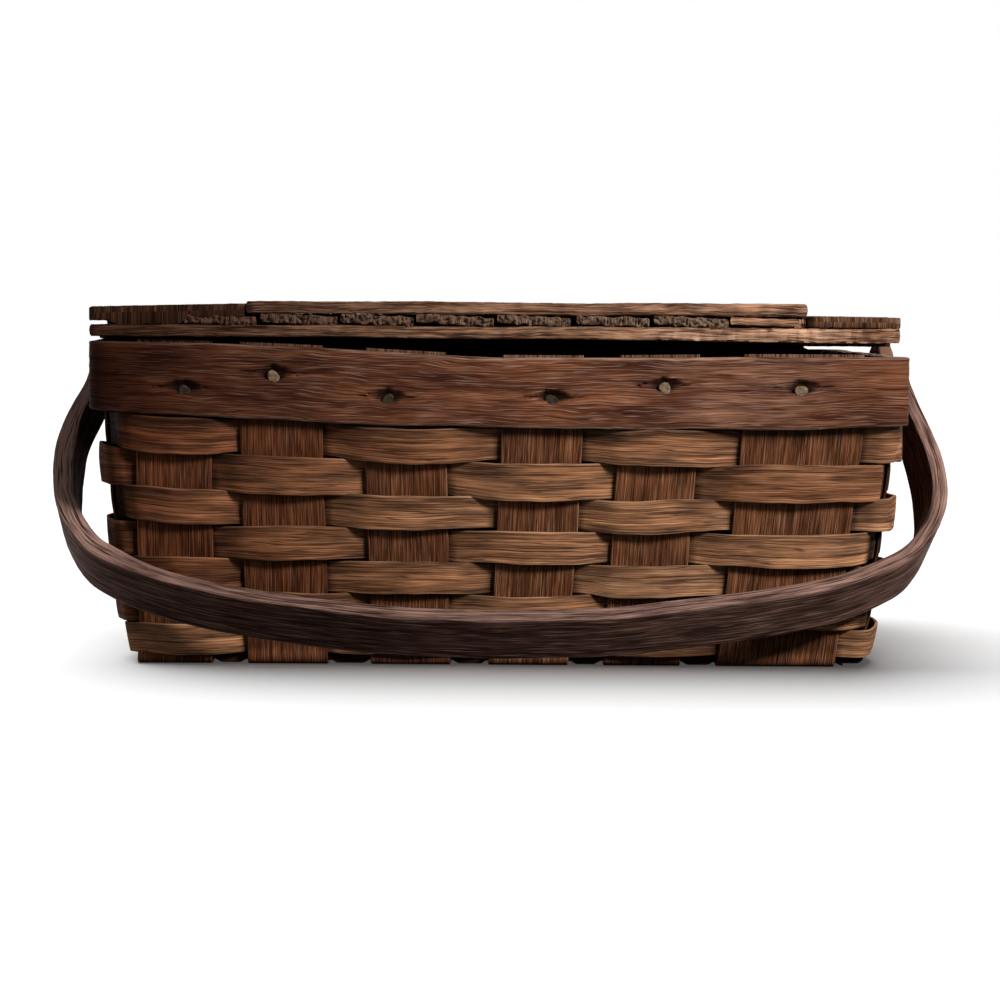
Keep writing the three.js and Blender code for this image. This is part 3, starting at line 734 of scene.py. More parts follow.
@dataclass(frozen=True)
class BasketShape:
    """Sizes that the pieces of the woven body share.

    Attributes:
        half_length: of the rim.
        half_depth: of the rim.
        rim_top: height of the rim's upper edge.
        rim_bottom: height of its lower edge.
        lid_bottom: height of the shut lid's underside.
    """

    half_length: float
    half_depth: float
    rim_top: float
    rim_bottom: float
    lid_bottom: float
    rows_bottom: float = 0.0074
    row_count: int = 7
    outer_rim: float = 0.005
    inner_rim: float = 0.004
    inner_rim_height: float = 0.030
    splint: float = 0.0016
    seat: float = 0.0003
    rim_corner: float = 0.013
    end_lean: float = 0.013
    wall_lean: float = 0.024
    back_settle: float = 0.4
    back_lift: float = 0.0053
    row_settle: float = 0.0024
    row_sink: float = 0.0016
    end_bulge: float = 0.0040

    @classmethod
    def from_frame(cls) -> "BasketShape":
        """Reads the rim and the lid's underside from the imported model."""
        low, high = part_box("outer_rim_hoop")
        return cls(high.x + 0.0005, high.y, high.z, low.z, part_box("lid_lower_front")[0].z)

    @property
    def inset(self) -> float:
        """From the rim's outer face to the middle of the stakes."""
        return self.outer_rim + self.seat + self.splint / 2.0

    @property
    def stake_half_length(self) -> float:
        """Half distance between the end walls' stakes."""
        return self.half_length - self.inset

    @property
    def stake_half_depth(self) -> float:
        """Half distance between the front and back walls' stakes."""
        return self.half_depth - self.inset

    @property
    def stake_corner(self) -> float:
        """Corner radius at the middle of the stakes."""
        return self.rim_corner - self.inset

    @property
    def layer(self) -> float:
        """Distance between two splints that cross."""
        return self.splint + self.seat

    @property
    def row_pitch(self) -> float:
        """Height of one woven row."""
        return (self.rim_bottom - self.seat - self.rows_bottom) / self.row_count

    def row_middle(self, row: int) -> float:
        """Height of a row's middle, counted from the top."""
        return self.rim_bottom - self.seat - (row + 0.5) * self.row_pitch

    def lean_x(self, z: Number) -> Array:
        """How much of its length the basket has at a height."""
        return 1.0 - np.clip(1.0 - z / self.rim_bottom, 0.0, 1.0) * self.end_lean / self.stake_half_length

    def lean_y(self, z: Number) -> Array:
        """How much of its depth the basket has at a height."""
        return 1.0 - np.clip(1.0 - z / self.rim_bottom, 0.0, 1.0) * self.wall_lean / self.stake_half_depth

    def settle(self, x: Number, y: Number, z: Number) -> Array:
        """How far the old basket has warped up or down at a place.

        Args:
            x: along the basket.
            y: across it.
            z: height before warping.

        Returns:
            The rise at each place.
        """
        base = -(0.02 * x * x + self.row_settle) * soft_step(z, 0.0, 0.012)
        right, left = soft_step(x, 0.03, 0.16), soft_step(-x, 0.185, 0.20)
        sunk = -self.row_sink * np.sin(math.pi * np.clip(z / self.rim_bottom, 0.0, 1.0))
        under_rim = -0.0008 - 0.0114 * x + 0.138 * x * x
        raised = np.sin(0.5 * math.pi * np.clip(-x / 0.2, 0.0, 1.0)) ** 1.2
        over_rim = -0.0025 + 0.0072 * raised + 0.0012 * soft_step(x, 0.03, 0.14)
        wall = np.clip(z / self.rim_bottom, 0.0, 1.0)
        rim = np.clip((z - self.rim_bottom) / (self.rim_top - self.rim_bottom), 0.0, 1.0)
        rows = base * (1.0 - wall) + (under_rim - 0.0024 * right) * wall + sunk
        band = (under_rim - 0.0014 * right) * (1.0 - rim) + over_rim * rim
        rise = np.where(z < self.rim_bottom - 0.0009, rows, band)
        back = np.clip((y + self.half_depth) / (2.0 * self.half_depth), 0.0, 1.0)
        held = 1.0 - soft_step(z, self.rim_top + 0.003, self.lid_bottom - self.seat)
        lifted = rim * soft_step(back, 0.6, 1.0) * (1.0 - soft_step(x, 0.172, 0.184))
        lifted = lifted * (self.back_lift - self.back_settle * over_rim)
        kept = 1.0 - (1.0 - self.back_settle) * back * (1.0 - left)
        closed = 0.0008 * rim * left * soft_step(back, 0.05, 0.3)
        return held * (rise * kept + lifted * (1.0 - left) + closed)

    def bulge(self, x: Number, y: Number, z: Number) -> Array:
        """How far the end walls have bulged.

        Args:
            x: place along the basket.
            y: place from front to back.
            z: height.

        Returns:
            The move along X at each place.
        """
        middle = np.clip(1.0 - (y / self.stake_half_depth) ** 2, 0.0, 1.0)
        level = soft_step(self.rim_bottom - z, 0.0, 0.025) * soft_step(z, 0.002, 0.03)
        return self.end_bulge * middle * level * np.sign(x) * soft_step(np.abs(x), 0.17, 0.19)

    def stain_and_shade(self, x: Number) -> Array:
        """Stain along the basket, darkest at the left end, together with painted shade of that end, which
        lies away from the lamps.
        """
        return soft_step(x, -0.27, 0.12)


class WallLoop:
    """The line round the stakes that rows and rims follow."""

    def __init__(self, shape: BasketShape) -> None:
        """Lays out the straight walls and round corners.

        Args:
            shape: the basket's sizes.
        """
        self.shape = shape
        radius = shape.stake_corner
        flat_x, flat_y = shape.stake_half_length - radius, shape.stake_half_depth - radius
        self.wall = 2.0 * flat_x
        self.end = 2.0 * flat_y
        self.bend = 0.5 * math.pi * radius
        corners = ((1, -1), (1, 1), (-1, 1), (-1, -1))
        points = [(-flat_x, -shape.stake_half_depth, 0.0, -1.0)]
        for i, (sx, sy) in enumerate(corners):
            for angle in np.linspace((i - 1) * 0.5 * math.pi, i * 0.5 * math.pi, 13):
                out_x, out_y = math.cos(angle), math.sin(angle)
                points.append((sx * flat_x + radius * out_x, sy * flat_y + radius * out_y, out_x, out_y))
        self.line = np.array([*points, points[0]])
        self.run = distances(self.line[:, :2])
        self.length = float(self.run[-1])

    def at(self, run: Array) -> list[Array]:
        """X, Y and the outward direction at places along the loop."""
        return [np.interp(run % self.length, self.run, self.line[:, i]) for i in range(4)]

    def place(self, run: Array, height: Array, out: Array) -> Array:
        """Points on the leaning, warped wall.

        Args:
            run: along the loop.
            height: above the floor, before warping.
            out: outward from the middle of the stakes.

        Returns:
            The points.
        """
        x, y, out_x, out_y = self.at(run)
        x = (x + out_x * out) * self.shape.lean_x(height)
        y = (y + out_y * out) * self.shape.lean_y(height)
        x = x + self.shape.bulge(x, y, height)
        return np.stack([x, y, height + self.shape.settle(x, y, height)], -1)


@dataclass(frozen=True)
class Stake:
    """One upright splint as the rows meet it.

    Attributes:
        run: its middle along the wall loop.
        half: half its width.
        bow: how far a row bows out over it.
    """

    run: float
    half: float
    bow: float


@dataclass
class Stakes:
    """Splints that run up one wall, under the base and up the other.

    Attributes:
        shape: the basket's sizes.
        cross: middle and width of the stakes of the front and back.
        drift: how far each leans along X, for its depth below the rim.
        end_pitch: between the stakes of the ends.
        end_width: of the stakes of the ends.
        end_count: of the ends.
    """

    shape: BasketShape
    cross: Pairs = ((-0.162, 0.038), (-0.1085, 0.0415), (-0.0465, 0.0405),
                    (0.0222, 0.0405), (0.0805, 0.0395), (0.1522, 0.060))
    drift: tuple[float, ...] = (-0.02, 0.012, 0.02, -0.05, -0.055, -0.08)
    end_pitch: float = 0.046
    end_width: float = 0.032
    end_count: int = 5
    rise: float = 0.0014
    base_level: float = 0.0027
    bend: float = 0.0025
    step: float = 0.002
    wave: float = 0.0005
    fold_drop: float = 0.0019
    fold_out: float = 0.0022
    band_inset: float = 0.0033
    band_top: float = 0.0100
    edge_wave: float = 0.0004
    edge_wave_length: float = 0.12

    @property
    def end_places(self) -> list[float]:
        """Y of the stakes of the ends, from the front."""
        return [(i - (self.end_count - 1) / 2.0) * self.end_pitch for i in range(self.end_count)]

    def middle(self, index: int, z: Number) -> Array:
        """X of a cross stake's middle at a height."""
        return self.cross[index][0] + self.drift[index] * np.clip(self.shape.rim_bottom - z, 0.0, None)

    @property
    def fold(self) -> float:
        """Distance of the folds at the foot of the front and back from the middle."""
        return self.shape.stake_half_depth - self.shape.wall_lean

    def edge(self, run: Array, place: float, seed: int) -> Array:
        """A stake's long edge, slightly uneven."""
        return place + swell(run, seed, self.edge_wave_length, self.edge_wave)

    def crossings(self, loop: WallLoop, height: float, wall_bow: float = 0.0,
                  end_bow: float = 0.0) -> list[Stake]:
        """Every stake that a row meets, in order round the loop.

        Args:
            loop: the line that rows follow.
            height: of the row.
            wall_bow: how far rows bow out over the front and back stakes.
            end_bow: how far they bow out over the stakes of the ends.

        Returns:
            The stakes from the front left corner on.
        """
        reach_x, reach_y = loop.wall / 2.0, loop.end / 2.0
        starts = [0.0, loop.wall + loop.bend, loop.wall + loop.end + 2.0 * loop.bend,
                  2.0 * loop.wall + loop.end + 3.0 * loop.bend]
        lean = float(self.shape.lean_x(height))
        cross = [(float(self.middle(i, height)) / lean, width / lean)
                 for i, (_, width) in enumerate(self.cross)]
        met = [Stake(starts[0] + reach_x + x, width / 2.0, wall_bow) for x, width in cross]
        met += [Stake(starts[1] + reach_y + y, self.end_width / 2.0, end_bow) for y in self.end_places]
        met += [Stake(starts[2] + reach_x - x, width / 2.0, wall_bow) for x, width in reversed(cross)]
        met += [Stake(starts[3] + reach_y - y, self.end_width / 2.0, 0.7 * end_bow)
                for y in reversed(self.end_places)]
        return met

    def line(self, half: float, lean: Course, top: float, base: Course) -> tuple[Array, Array, Array]:
        """Line of a stake down one wall, along the base and up the other.

        Args:
            half: distance of the walls from the middle.
            lean: share of it at a height.
            top: height of its cut ends.
            base: height of its run along the base.

        Returns:
            The run, its points and its outward directions.
        """
        foot = half * float(lean(self.base_level)) + self.fold_out - self.bend
        angles = np.linspace(0.0, 0.5 * math.pi, 7)
        level = float(base(np.array([foot]))[0])
        bend = np.stack([foot + self.bend * np.cos(angles), level + self.bend * (1.0 - np.sin(angles))], -1)
        high = np.linspace(top, level + self.bend + 0.002, 60)
        out = half * lean(high) + self.fold_out * (1.0 - soft_step(high, 0.004, 0.011))
        right = np.concatenate([np.stack([out, high], -1), bend])
        inner = np.linspace(foot, -foot, 160)[1:-1]
        left_level = float(base(np.array([-foot]))[0])
        left = right[::-1] * (-1.0, 1.0)
        left[:7, 1] += left_level - level
        whole = np.concatenate([right, np.stack([inner, base(inner)], -1), left])[::-1]
        run, points = resampled(whole, int(distances(whole)[-1] / self.step))
        way = headings(points)
        return run, points, np.stack([way[:, 1], -way[:, 0]], -1)

    def push(self, index: int, z: Array) -> Array:
        """How a stake gives way to the rows that cross it.

        Args:
            index: which stake, counted round the basket.
            z: heights on it.

        Returns:
            How far it is pushed out at each height.
        """
        shape = self.shape
        phase = math.pi * (shape.row_middle(0) - z) / shape.row_pitch
        sign = 1.0 if index % 2 == 0 else -1.0
        inside_rows = soft_step(z, shape.rows_bottom, shape.rows_bottom + 0.01)
        inside_rows = inside_rows * (1.0 - soft_step(z, shape.rim_bottom - 0.006, shape.rim_bottom))
        return -sign * self.wave * np.cos(phase) * inside_rows

    def painted_shade(self, run: Array, heights: Array) -> Field:
        """Painted shade on a stake under the rim, behind it and at the foot.

        Args:
            run: the stake's run.
            heights: height at each station.

        Returns:
            A painted shade field for its strip.
        """
        bottom, top = self.shape.rim_bottom, self.shape.rim_top

        def painted_shade_at(along: Array, across: Array, through: Array) -> Array:
            """Painted shade by height."""
            z = np.interp(along, run, heights)
            under_rim = 0.55 * soft_step(z, bottom - 0.009, bottom - 0.001)
            in_rim = np.where(z > bottom, np.clip((top - z) * 400.0, 0.0, 0.6), 0.0)
            low = 0.15 * (1.0 - soft_step(z, 0.0, 0.014))
            return np.maximum(np.maximum(under_rim, in_rim), low)
        return painted_shade_at

    def build(self) -> None:
        """Models all the stakes and lays them in the basket."""
        for index in range(len(self.cross)):
            self.cross_stake(index)
        for row, y in enumerate(self.end_places):
            self.end_stake(row, y)
        for name, side in (("front", -1.0), ("back", 1.0)):
            self.foot_band(f"foot_band_{name}", side * (self.fold - self.band_inset))

    def cross_stake(self, index: int) -> None:
        """Models one stake of the front and back.

        Args:
            index: which one, from the left.
        """
        shape, fold = self.shape, self.fold
        x, width = self.cross[index]
        flat = lambda y: self.base_level - self.fold_drop * soft_step(np.abs(y), fold - 0.014, fold - 0.004)
        run, points, out = self.line(shape.stake_half_depth, shape.lean_y, shape.rim_top + self.rise, flat)

        def place(along: Array, across: Array, through: Array) -> Array:
            """Points of the stake."""
            depth = through + self.push(index, np.interp(along, run, points[:, 1]))
            y, z = moved_out(along, run, points, out, depth)
            px = self.middle(index, z) + across
            return np.stack([px, y, z + shape.settle(px, y, z)], -1)

        name = f"cross_stake_{index + 1}"
        piece = Strip(f"{name}_splint", run, self.edge(run, -width / 2.0, 30 + index),
                      self.edge(run, width / 2.0, 60 + index), shape.splint, place, columns=12, edge=0.0005,
                      seed=100 + index, tone=min(0.86, float(shape.stain_and_shade(x))),
                      painted_shade=self.painted_shade(run, points[:, 1]), end_reach=0.006, edge_wear_and_lit=0.3).build()
        hand_over(piece, STAKE_WOOD, Body.BASKET, [name])

    def foot_band(self, name: str, y: float) -> None:
        """Models a dark band inside the foot of a wall, over the folds and down to the floor between them.

        Args:
            name: the piece's name.
            y: its place across the basket.
        """
        reach = self.shape.stake_half_length - self.shape.end_lean - 0.009
        run = np.linspace(-reach, reach, 240)

        def place(along: Array, across: Array, through: Array) -> Array:
            """Points of the band."""
            return np.stack([along, y + through, across], -1)

        over, between = 2.0 * (self.base_level - self.fold_drop) + 0.0004, 0.0002
        knots, levels = [], []
        for i, (_, width) in enumerate(self.cross):
            middle, half = float(self.middle(i, 0.0)), width / 2.0
            knots += [middle + side for side in (-half - 0.004, -half - 0.001, half + 0.001, half + 0.004)]
            levels += [between, over, over, between]
        low, high = np.interp(run, knots, levels), self.band_top + swell(run, 151, 0.07, 0.0004)
        # Darkened all over, in tone and shade value: painted shade of the hollow under the basket.
        piece = Strip(name, run, low, high, self.shape.splint, place, columns=6, edge=0.0005, seed=152,
                      tone=0.3, painted_shade=evenly(0.75)).build()
        hand_over(piece, STAKE_WOOD, Body.BASKET, [])

    def woven_base(self, row: int) -> Course:
        """Height of an end stake along the base, over and under the cross stakes.

        Args:
            row: which end stake.

        Returns:
            A course of heights along X.
        """
        knots, levels = [], []
        for i, (_, width) in enumerate(self.cross):
            level = self.base_level + (self.shape.layer if (i + row) % 2 == 0 else -self.shape.layer)
            middle = float(self.middle(i, 0.0))
            knots += [middle - width / 2.0 - 0.001, middle + width / 2.0 + 0.001]
            levels += [level, level]
        return lambda x: np.interp(x, knots, levels)

    def end_stake(self, row: int, y: float) -> None:
        """Models one stake of the ends.

        Args:
            row: which one, from the front.
            y: its middle at the rim.
        """
        shape = self.shape
        top = shape.rim_top - shape.seat
        run, points, out = self.line(shape.stake_half_length, shape.lean_x, top, self.woven_base(row))
        right, left = len(self.cross) + row, 2 * len(self.cross) + 2 * self.end_count - 1 - row

        def place(along: Array, across: Array, through: Array) -> Array:
            """Points of the stake."""
            x, z = (np.interp(along, run, points[:, i]) for i in range(2))
            depth = through + np.where(x > 0.0, self.push(right, z), self.push(left, z))
            x, z = moved_out(along, run, points, out, depth)
            py = y * shape.lean_y(z) + across
            x = x + shape.bulge(x, py, z)
            return np.stack([x, py, z + shape.settle(x, py, z) * soft_step(z, 0.002, 0.02)], -1)

        on_wall = self.painted_shade(run, points[:, 1])

        def painted_shade_at(along: Array, across: Array, through: Array) -> Array:
            """Painted shade by height, and along both edges."""
            return np.maximum(on_wall(along, across, through), 0.7 * soft_step(np.abs(across), 0.8, 1.0))

        name, half = f"end_stake_{row + 1}", self.end_width / 2.0
        piece = Strip(f"{name}_splint", run, self.edge(run, -half, 90 + row), self.edge(run, half, 95 + row),
                      shape.splint, place, columns=10, edge=0.0005, seed=130 + row,
                      tone=shape.stain_and_shade(points[:, 0]), painted_shade=painted_shade_at, edge_wear_and_lit=0.3).build()
        hand_over(piece, STAKE_WOOD, Body.BASKET, [name])


@dataclass
class Weave:
    """The rows woven round the stakes, each one long splint.

    Attributes:
        shape: the basket's sizes.
        loop: the line that they follow.
        stakes: what they are woven round.
        row_tone_and_light: change of tone of single rows; the bottom row's lift is painted light where the
            handle's shadow falls.
        part_tone: change of tone of part of a row, and the places along X between which it sets in.
    """

    shape: BasketShape
    loop: WallLoop
    stakes: Stakes
    wall_bow: float = 0.0042
    end_bow: float = 0.0060
    corner_tuck: float = 0.0080
    edge_bow: float = 0.5
    tuck: float = 0.0021
    rounding: float = 0.0024
    half_height: float = 0.0076
    upper_swell: float = 0.0003
    lower_swell: float = 0.0016
    thickness: float = 0.0017
    overlap: float = 0.014
    step: float = 0.0022
    offset_count: int = 2400
    row_tone_and_light: dict[int, float] = field(default_factory=lambda: {0: -0.12, 6: 0.75})
    part_tone: dict[int, tuple[float, float, float]] = field(default_factory=lambda: {
        1: (-0.42, 0.06, 0.12), 2: (0.22, -0.10, -0.07), 4: (0.34, 0.02, 0.06)})
    # One row is paler towards its right end, and one row's left tip, where it turns the corner, gets painted
    # shade.
    paler_row: int = 4
    shaded_tip_row: int = 1

    def offset(self, row: int) -> tuple[Array, Array]:
        """How far a row lies outside the stakes' middle along the loop.

        Args:
            row: which row, from the top.

        Returns:
            Places along the loop, and the offset at each.
        """
        knots, values = [], []
        met = self.stakes.crossings(self.loop, self.shape.row_middle(row), self.wall_bow, self.end_bow)
        front, ends = len(self.stakes.cross), self.stakes.end_count
        wall, end, bend = self.loop.wall, self.loop.end, self.loop.bend
        firsts = {0: 0.0, front: wall, front + ends: wall + bend + end,
                  2 * front + ends: 2.0 * wall + end + 2.0 * bend}
        for i, stake in enumerate(met):
            half = stake.half + 0.001
            if i in firsts:
                wall_first = i in (front, 2 * front + ends)
                sunk = ((i + row) % 2 == 1) == wall_first
                corner = firsts[i] if i else -bend
                held = 0.0015 if i in (front, front + ends) else -0.0008
                depth = held - (self.corner_tuck * (1.0 - soft_step(row, 4.0, 6.0)) if sunk else 0.0)
                begin = {1: 0.60, 3: 0.25}.get(row, 0.15) if i == front else 0.15
                knots += [corner + begin * bend, corner + 0.85 * bend]
                values += [depth, depth]
                if sunk and row < 5:
                    knots.append(corner + (begin - 0.38 if wall_first else 1.23) * bend)
                    values.append(0.0012)
            if (i + row) % 2 == 0:
                crest = self.shape.layer + stake.bow
                shoulder = self.shape.layer + self.edge_bow * stake.bow
                knots += [stake.run - half, stake.run, stake.run + half]
                values += [shoulder, crest, shoulder]
            else:
                knots += [stake.run - half, stake.run + half]
                values += [-self.tuck, -self.tuck]
        length, count = self.loop.length, self.offset_count
        run = np.arange(count) * length / count
        out = np.interp(run, knots, values, period=length)
        return run, smoothed(out, length / count, self.rounding)

    def build(self) -> None:
        """Models all the rows."""
        met = self.stakes.crossings(self.loop, self.shape.rim_bottom)
        back = 3 + len(self.stakes.cross) + self.stakes.end_count
        for row in range(self.shape.row_count):
            hidden = back if (back + row) % 2 == 1 else back - 1
            self.row(row, met[hidden].run)

    def row(self, row: int, start: float) -> None:
        """Models one row, with its ends lapped behind a stake of the back.

        Args:
            row: which row, from the top.
            start: where on the loop its ends lap.
        """
        loop, shape = self.loop, self.shape
        places, outs = self.offset(row)
        first, last = start - self.overlap, start + loop.length + self.overlap
        run = np.linspace(first, last, int((last - first) / self.step))
        at = lambda along, values: np.interp(along, places, values, period=loop.length)
        crest = shape.layer + self.wall_bow + self.tuck
        humps = smoothed(np.clip((outs + self.tuck) / crest, 0.0, 1.0), loop.length / len(outs), 0.006)
        rising = np.clip(0.03 * np.gradient(humps, places), 0.0, 1.0)
        lap_start, lap_end = last - 2.6 * self.overlap, last - 1.8 * self.overlap
        middle = shape.row_middle(row)
        hump = at(run, humps)
        x, y = loop.at(run)[:2]
        taller = (0.0008 if row == 1 else 0.0) + 0.0005 * soft_step(y, 0.0, 0.1)
        high = self.half_height + taller + self.upper_swell * hump + swell(run, 200 + row, 0.09, 0.00035)
        low = -self.half_height - taller - self.lower_swell * hump + swell(run, 220 + row, 0.07, 0.00045)
        low = np.maximum(low, shape.rows_bottom - 0.006 - middle)
        if row == 0:
            high = high + 0.0008 * soft_step(x, 0.03, 0.16)

        def place(along: Array, across: Array, through: Array) -> Array:
            """Points of the row, bowed over stakes, tucked behind them and lapped at its end."""
            hump_here = at(along, humps)
            share = across / self.half_height
            tilt = -0.0004 * share * hump_here
            cup = 0.0003 * (1.0 - np.clip(share, -1.2, 1.2) ** 2) * hump_here
            lap = shape.layer * soft_step(along, lap_start, lap_end)
            out = at(along, outs) - lap + tilt + cup + through
            height = middle + across + swell(along, 240 + row, 0.16, 0.0007)
            return loop.place(along, height, out)

        def painted_shade_at(along: Array, across: Array, through: Array) -> Array:
            """Painted shade along the upper edge, behind stakes, under the rim and on one row's left tip."""
            shaded = 0.16 + 0.22 * (1.0 - at(along, humps)) + 0.30 * at(along, rising)
            upper = shaded * soft_step(across, -0.6, 1.0)
            inside = 0.75 * (1.0 - soft_step(at(along, outs), -0.0019, -0.0009))
            inside = inside + 0.24 * (1.0 - soft_step(at(along, outs), -0.0040, -0.0025))
            rim = 0.5 * soft_step(across, 0.2, 1.0) if row == 0 else 0.0
            left, front = (-value for value in loop.at(along)[:2])
            tip = 0.5 * soft_step(left, 0.187, 0.193) * soft_step(front, 0.09, 0.12)
            tip = tip if row == self.shaded_tip_row else 0.0
            return np.maximum(np.maximum(upper, inside), np.maximum(rim, tip))

        # Tone follows the stain with its painted shade of the left end, and rises towards the lower rows:
        # painted light on rows that lean away from the lamp above.
        tone = shape.stain_and_shade(x) * (0.86 + 0.035 * row) + swell(run, 260 + row, 0.21, 0.06)
        tone = tone + self.row_tone_and_light.get(row, 0.0)
        if row in self.part_tone:
            amount, begin, end = self.part_tone[row]
            tone = tone + amount * soft_step(x, begin, end)
        name = f"weaver_row_{row + 1}"
        piece = Strip(f"{name}_splint", run, low, high, self.thickness, place, columns=8, edge=0.0005,
                      seed=300 + row, painted_shade=painted_shade_at, tone=np.clip(tone, 0.0, 1.0),
                      rubbed_and_lit=(0.3 if row == self.paler_row else 0.0) * soft_step(x, 0.02, 0.06)).build()
        hand_over(piece, WEAVER_WOOD, Body.BASKET, [name])


@dataclass(frozen=True)
class NailSpot:
    """A nail in the rim.

    Attributes:
        run: along the wall loop.
        height: above the floor.
        sunk: how deep its head lies in its split.
    """

    run: float
    height: float
    sunk: float


@dataclass
class Rim:
    """The two hoops that clamp the stakes, and their nails.

    Attributes:
        shape: the basket's sizes.
        loop: the line that they follow.
        stakes: what they clamp.
        nail_shift: how far each front nail stands beside and above its packed place.
        deep_nails: front nails that are driven deep, and take the darker steel as painted shade of their
            hollow.
    """

    shape: BasketShape
    loop: WallLoop
    stakes: Stakes
    joint: float = 0.78
    fine_step: float = 0.0013
    step: float = 0.005
    dent_length: float = 0.0095
    dent_height: float = 0.0042
    dent_depth: float = 0.0030
    nail_shift: Pairs = ((0.0015, -0.0013), (0.0004, -0.0025), (0.0010, -0.0010),
                         (0.0004, -0.0010), (-0.0003, -0.0016), (-0.0015, -0.0016))
    head_radius: float = 0.0030
    head_height: float = 0.0012
    sunk: float = 0.0016
    back_sunk: float = 0.0018
    deep: float = 0.0026
    deep_nails: tuple[int, ...] = (0, 2, 3)

    def front_nails(self) -> list[NailSpot]:
        """The nails of the front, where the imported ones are.

        Returns:
            One spot for each nail, from the left.
        """
        spots = []
        for i in range(len(self.stakes.cross)):
            low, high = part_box(f"front_nail_{i + 1}")
            middle = (low + high) / 2.0
            sunk = self.deep if i in self.deep_nails else self.sunk
            aside, up = self.nail_shift[i]
            spots.append(NailSpot(middle.x + aside + self.loop.wall / 2.0, middle.z + up, sunk))
        return spots

    def other_nails(self) -> list[NailSpot]:
        """Nails of the ends and the back, one at each stake but the middle ones of the ends.

        Returns:
            One spot for each nail, counted round the basket.
        """
        met = self.stakes.crossings(self.loop, self.shape.rim_bottom)
        draw = np.random.default_rng(8)
        front, ends = len(self.stakes.cross), self.stakes.end_count
        middles = {front + ends // 2, 2 * front + ends + ends // 2}
        spots = []
        for i, stake in enumerate(met[front:], start=front):
            height = self.shape.rim_top - draw.uniform(0.011, 0.024)
            aside = draw.uniform(-0.006, 0.006)
            if i not in middles:
                spots.append(NailSpot(stake.run + aside, height, self.back_sunk))
        return spots

    def build(self) -> None:
        """Models the hoops and drives the nails."""
        spots = self.front_nails() + self.other_nails()
        shape = self.shape
        face = shape.splint / 2.0 + shape.seat
        self.hoop("outer_rim_hoop", shape.rim_bottom, shape.rim_top, face + shape.outer_rim / 2.0,
                  shape.outer_rim, spots, 34)
        self.hoop("inner_rim_hoop", shape.rim_top - shape.inner_rim_height, shape.rim_top,
                  -face - shape.inner_rim / 2.0, shape.inner_rim, [], 16)
        self.nails(spots)

    def hoop(self, name: str, bottom: float, top: float, out: float, thickness: float, spots: list[NailSpot],
             columns: int) -> None:
        """Models one hoop, a bent strip whose ends meet at the back.

        Args:
            name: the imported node.
            bottom: height of its lower edge.
            top: height of its upper edge.
            out: its middle, outward from the stakes.
            thickness: of the strip.
            spots: nails that have split it.
            columns: faces across it.
        """
        loop = self.loop
        start = self.joint * loop.length
        coarse = np.arange(start, start + loop.length, self.step)
        fine = loop.length + np.arange(-0.01, loop.wall + 0.01, self.fine_step) if spots else coarse[:0]
        kept = coarse[(coarse < fine[0]) | (coarse > fine[-1])] if spots else coarse
        run = np.sort(np.concatenate([kept, fine, [start + loop.length - 0.0008]]))
        seed = 400 + columns
        middle = (bottom + top) / 2.0
        low = bottom - middle + swell(run, seed + 1, 0.11, 0.0005)
        high = top - middle + swell(run, seed + 2, 0.14, 0.0003)

        def split(along: Array, height: Array) -> Array:
            """How far the nails have split the wood, from 0 to 1."""
            deepest = np.zeros_like(along)
            for spot in spots:
                way = (along - spot.run + loop.length / 2.0) % loop.length - loop.length / 2.0
                rise = height - spot.height - 0.0018
                rise = rise + swell(way, int(1e4 * spot.run), 0.008, 0.0005)
                lens = 1.0 - np.abs(way / self.dent_length) ** 1.4 - np.abs(rise / self.dent_height) ** 1.6
                crack = 1.0 - (way / (2.0 * self.dent_length)) ** 2 - (rise / 0.0008) ** 2
                deepest = np.maximum(deepest, np.clip(np.maximum(1.6 * lens, 0.6 * crack), 0.0, 1.0) ** 0.7)
            return deepest

        def relief(along: Array, across: Array, through: Array) -> Array:
            """Unevenness, less the splits on the outer face."""
            uneven = swell(along, seed + 3, 0.19, 0.0005)
            uneven = uneven + swell(along + 7.0 * across, seed + 4, 0.05, 0.00012)
            return uneven - np.where(through > 0.0, self.dent_depth * split(along, middle + across), 0.0)

        def place(along: Array, across: Array, through: Array) -> Array:
            """Points on the wall."""
            return loop.place(along, middle + across, out + through)

        def painted_shade_at(along: Array, across: Array, through: Array) -> Array:
            """Painted shade in the splits, along the lower edge and inside."""
            height = middle + across * (top - bottom) / 2.0
            low_edge = 0.25 * (1.0 - soft_step(across, -1.0, -0.75))
            return np.where(through > 0.0, np.maximum(0.95 * split(along, height), low_edge), 0.4)

        x = loop.at(run)[0]
        lift = 0.17 * soft_step(x, -0.19, -0.12) * (1.0 - soft_step(x, 0.02, 0.09))
        fade = 0.12 * soft_step(x, 0.03, 0.09) + 0.14 * soft_step(x, 0.13, 0.18)
        tone = self.shape.stain_and_shade(x) * (1.0 - fade) + lift
        tone = np.clip(tone + swell(run, seed + 5, 0.17, 0.05), 0.0, 1.0)
        dusty = 0.26 * soft_step(x, 0.05, 0.12) * (1.0 - soft_step(x, 0.14, 0.18))
        piece = Strip(f"{name}_wood", run, low, high, thickness, place, columns=columns, edge=0.0011,
                      seed=seed, relief=relief, painted_shade=painted_shade_at, tone=tone, rubbed_and_lit=dusty).build()
        hand_over(piece, RIM_WOOD, Body.BASKET, [name])

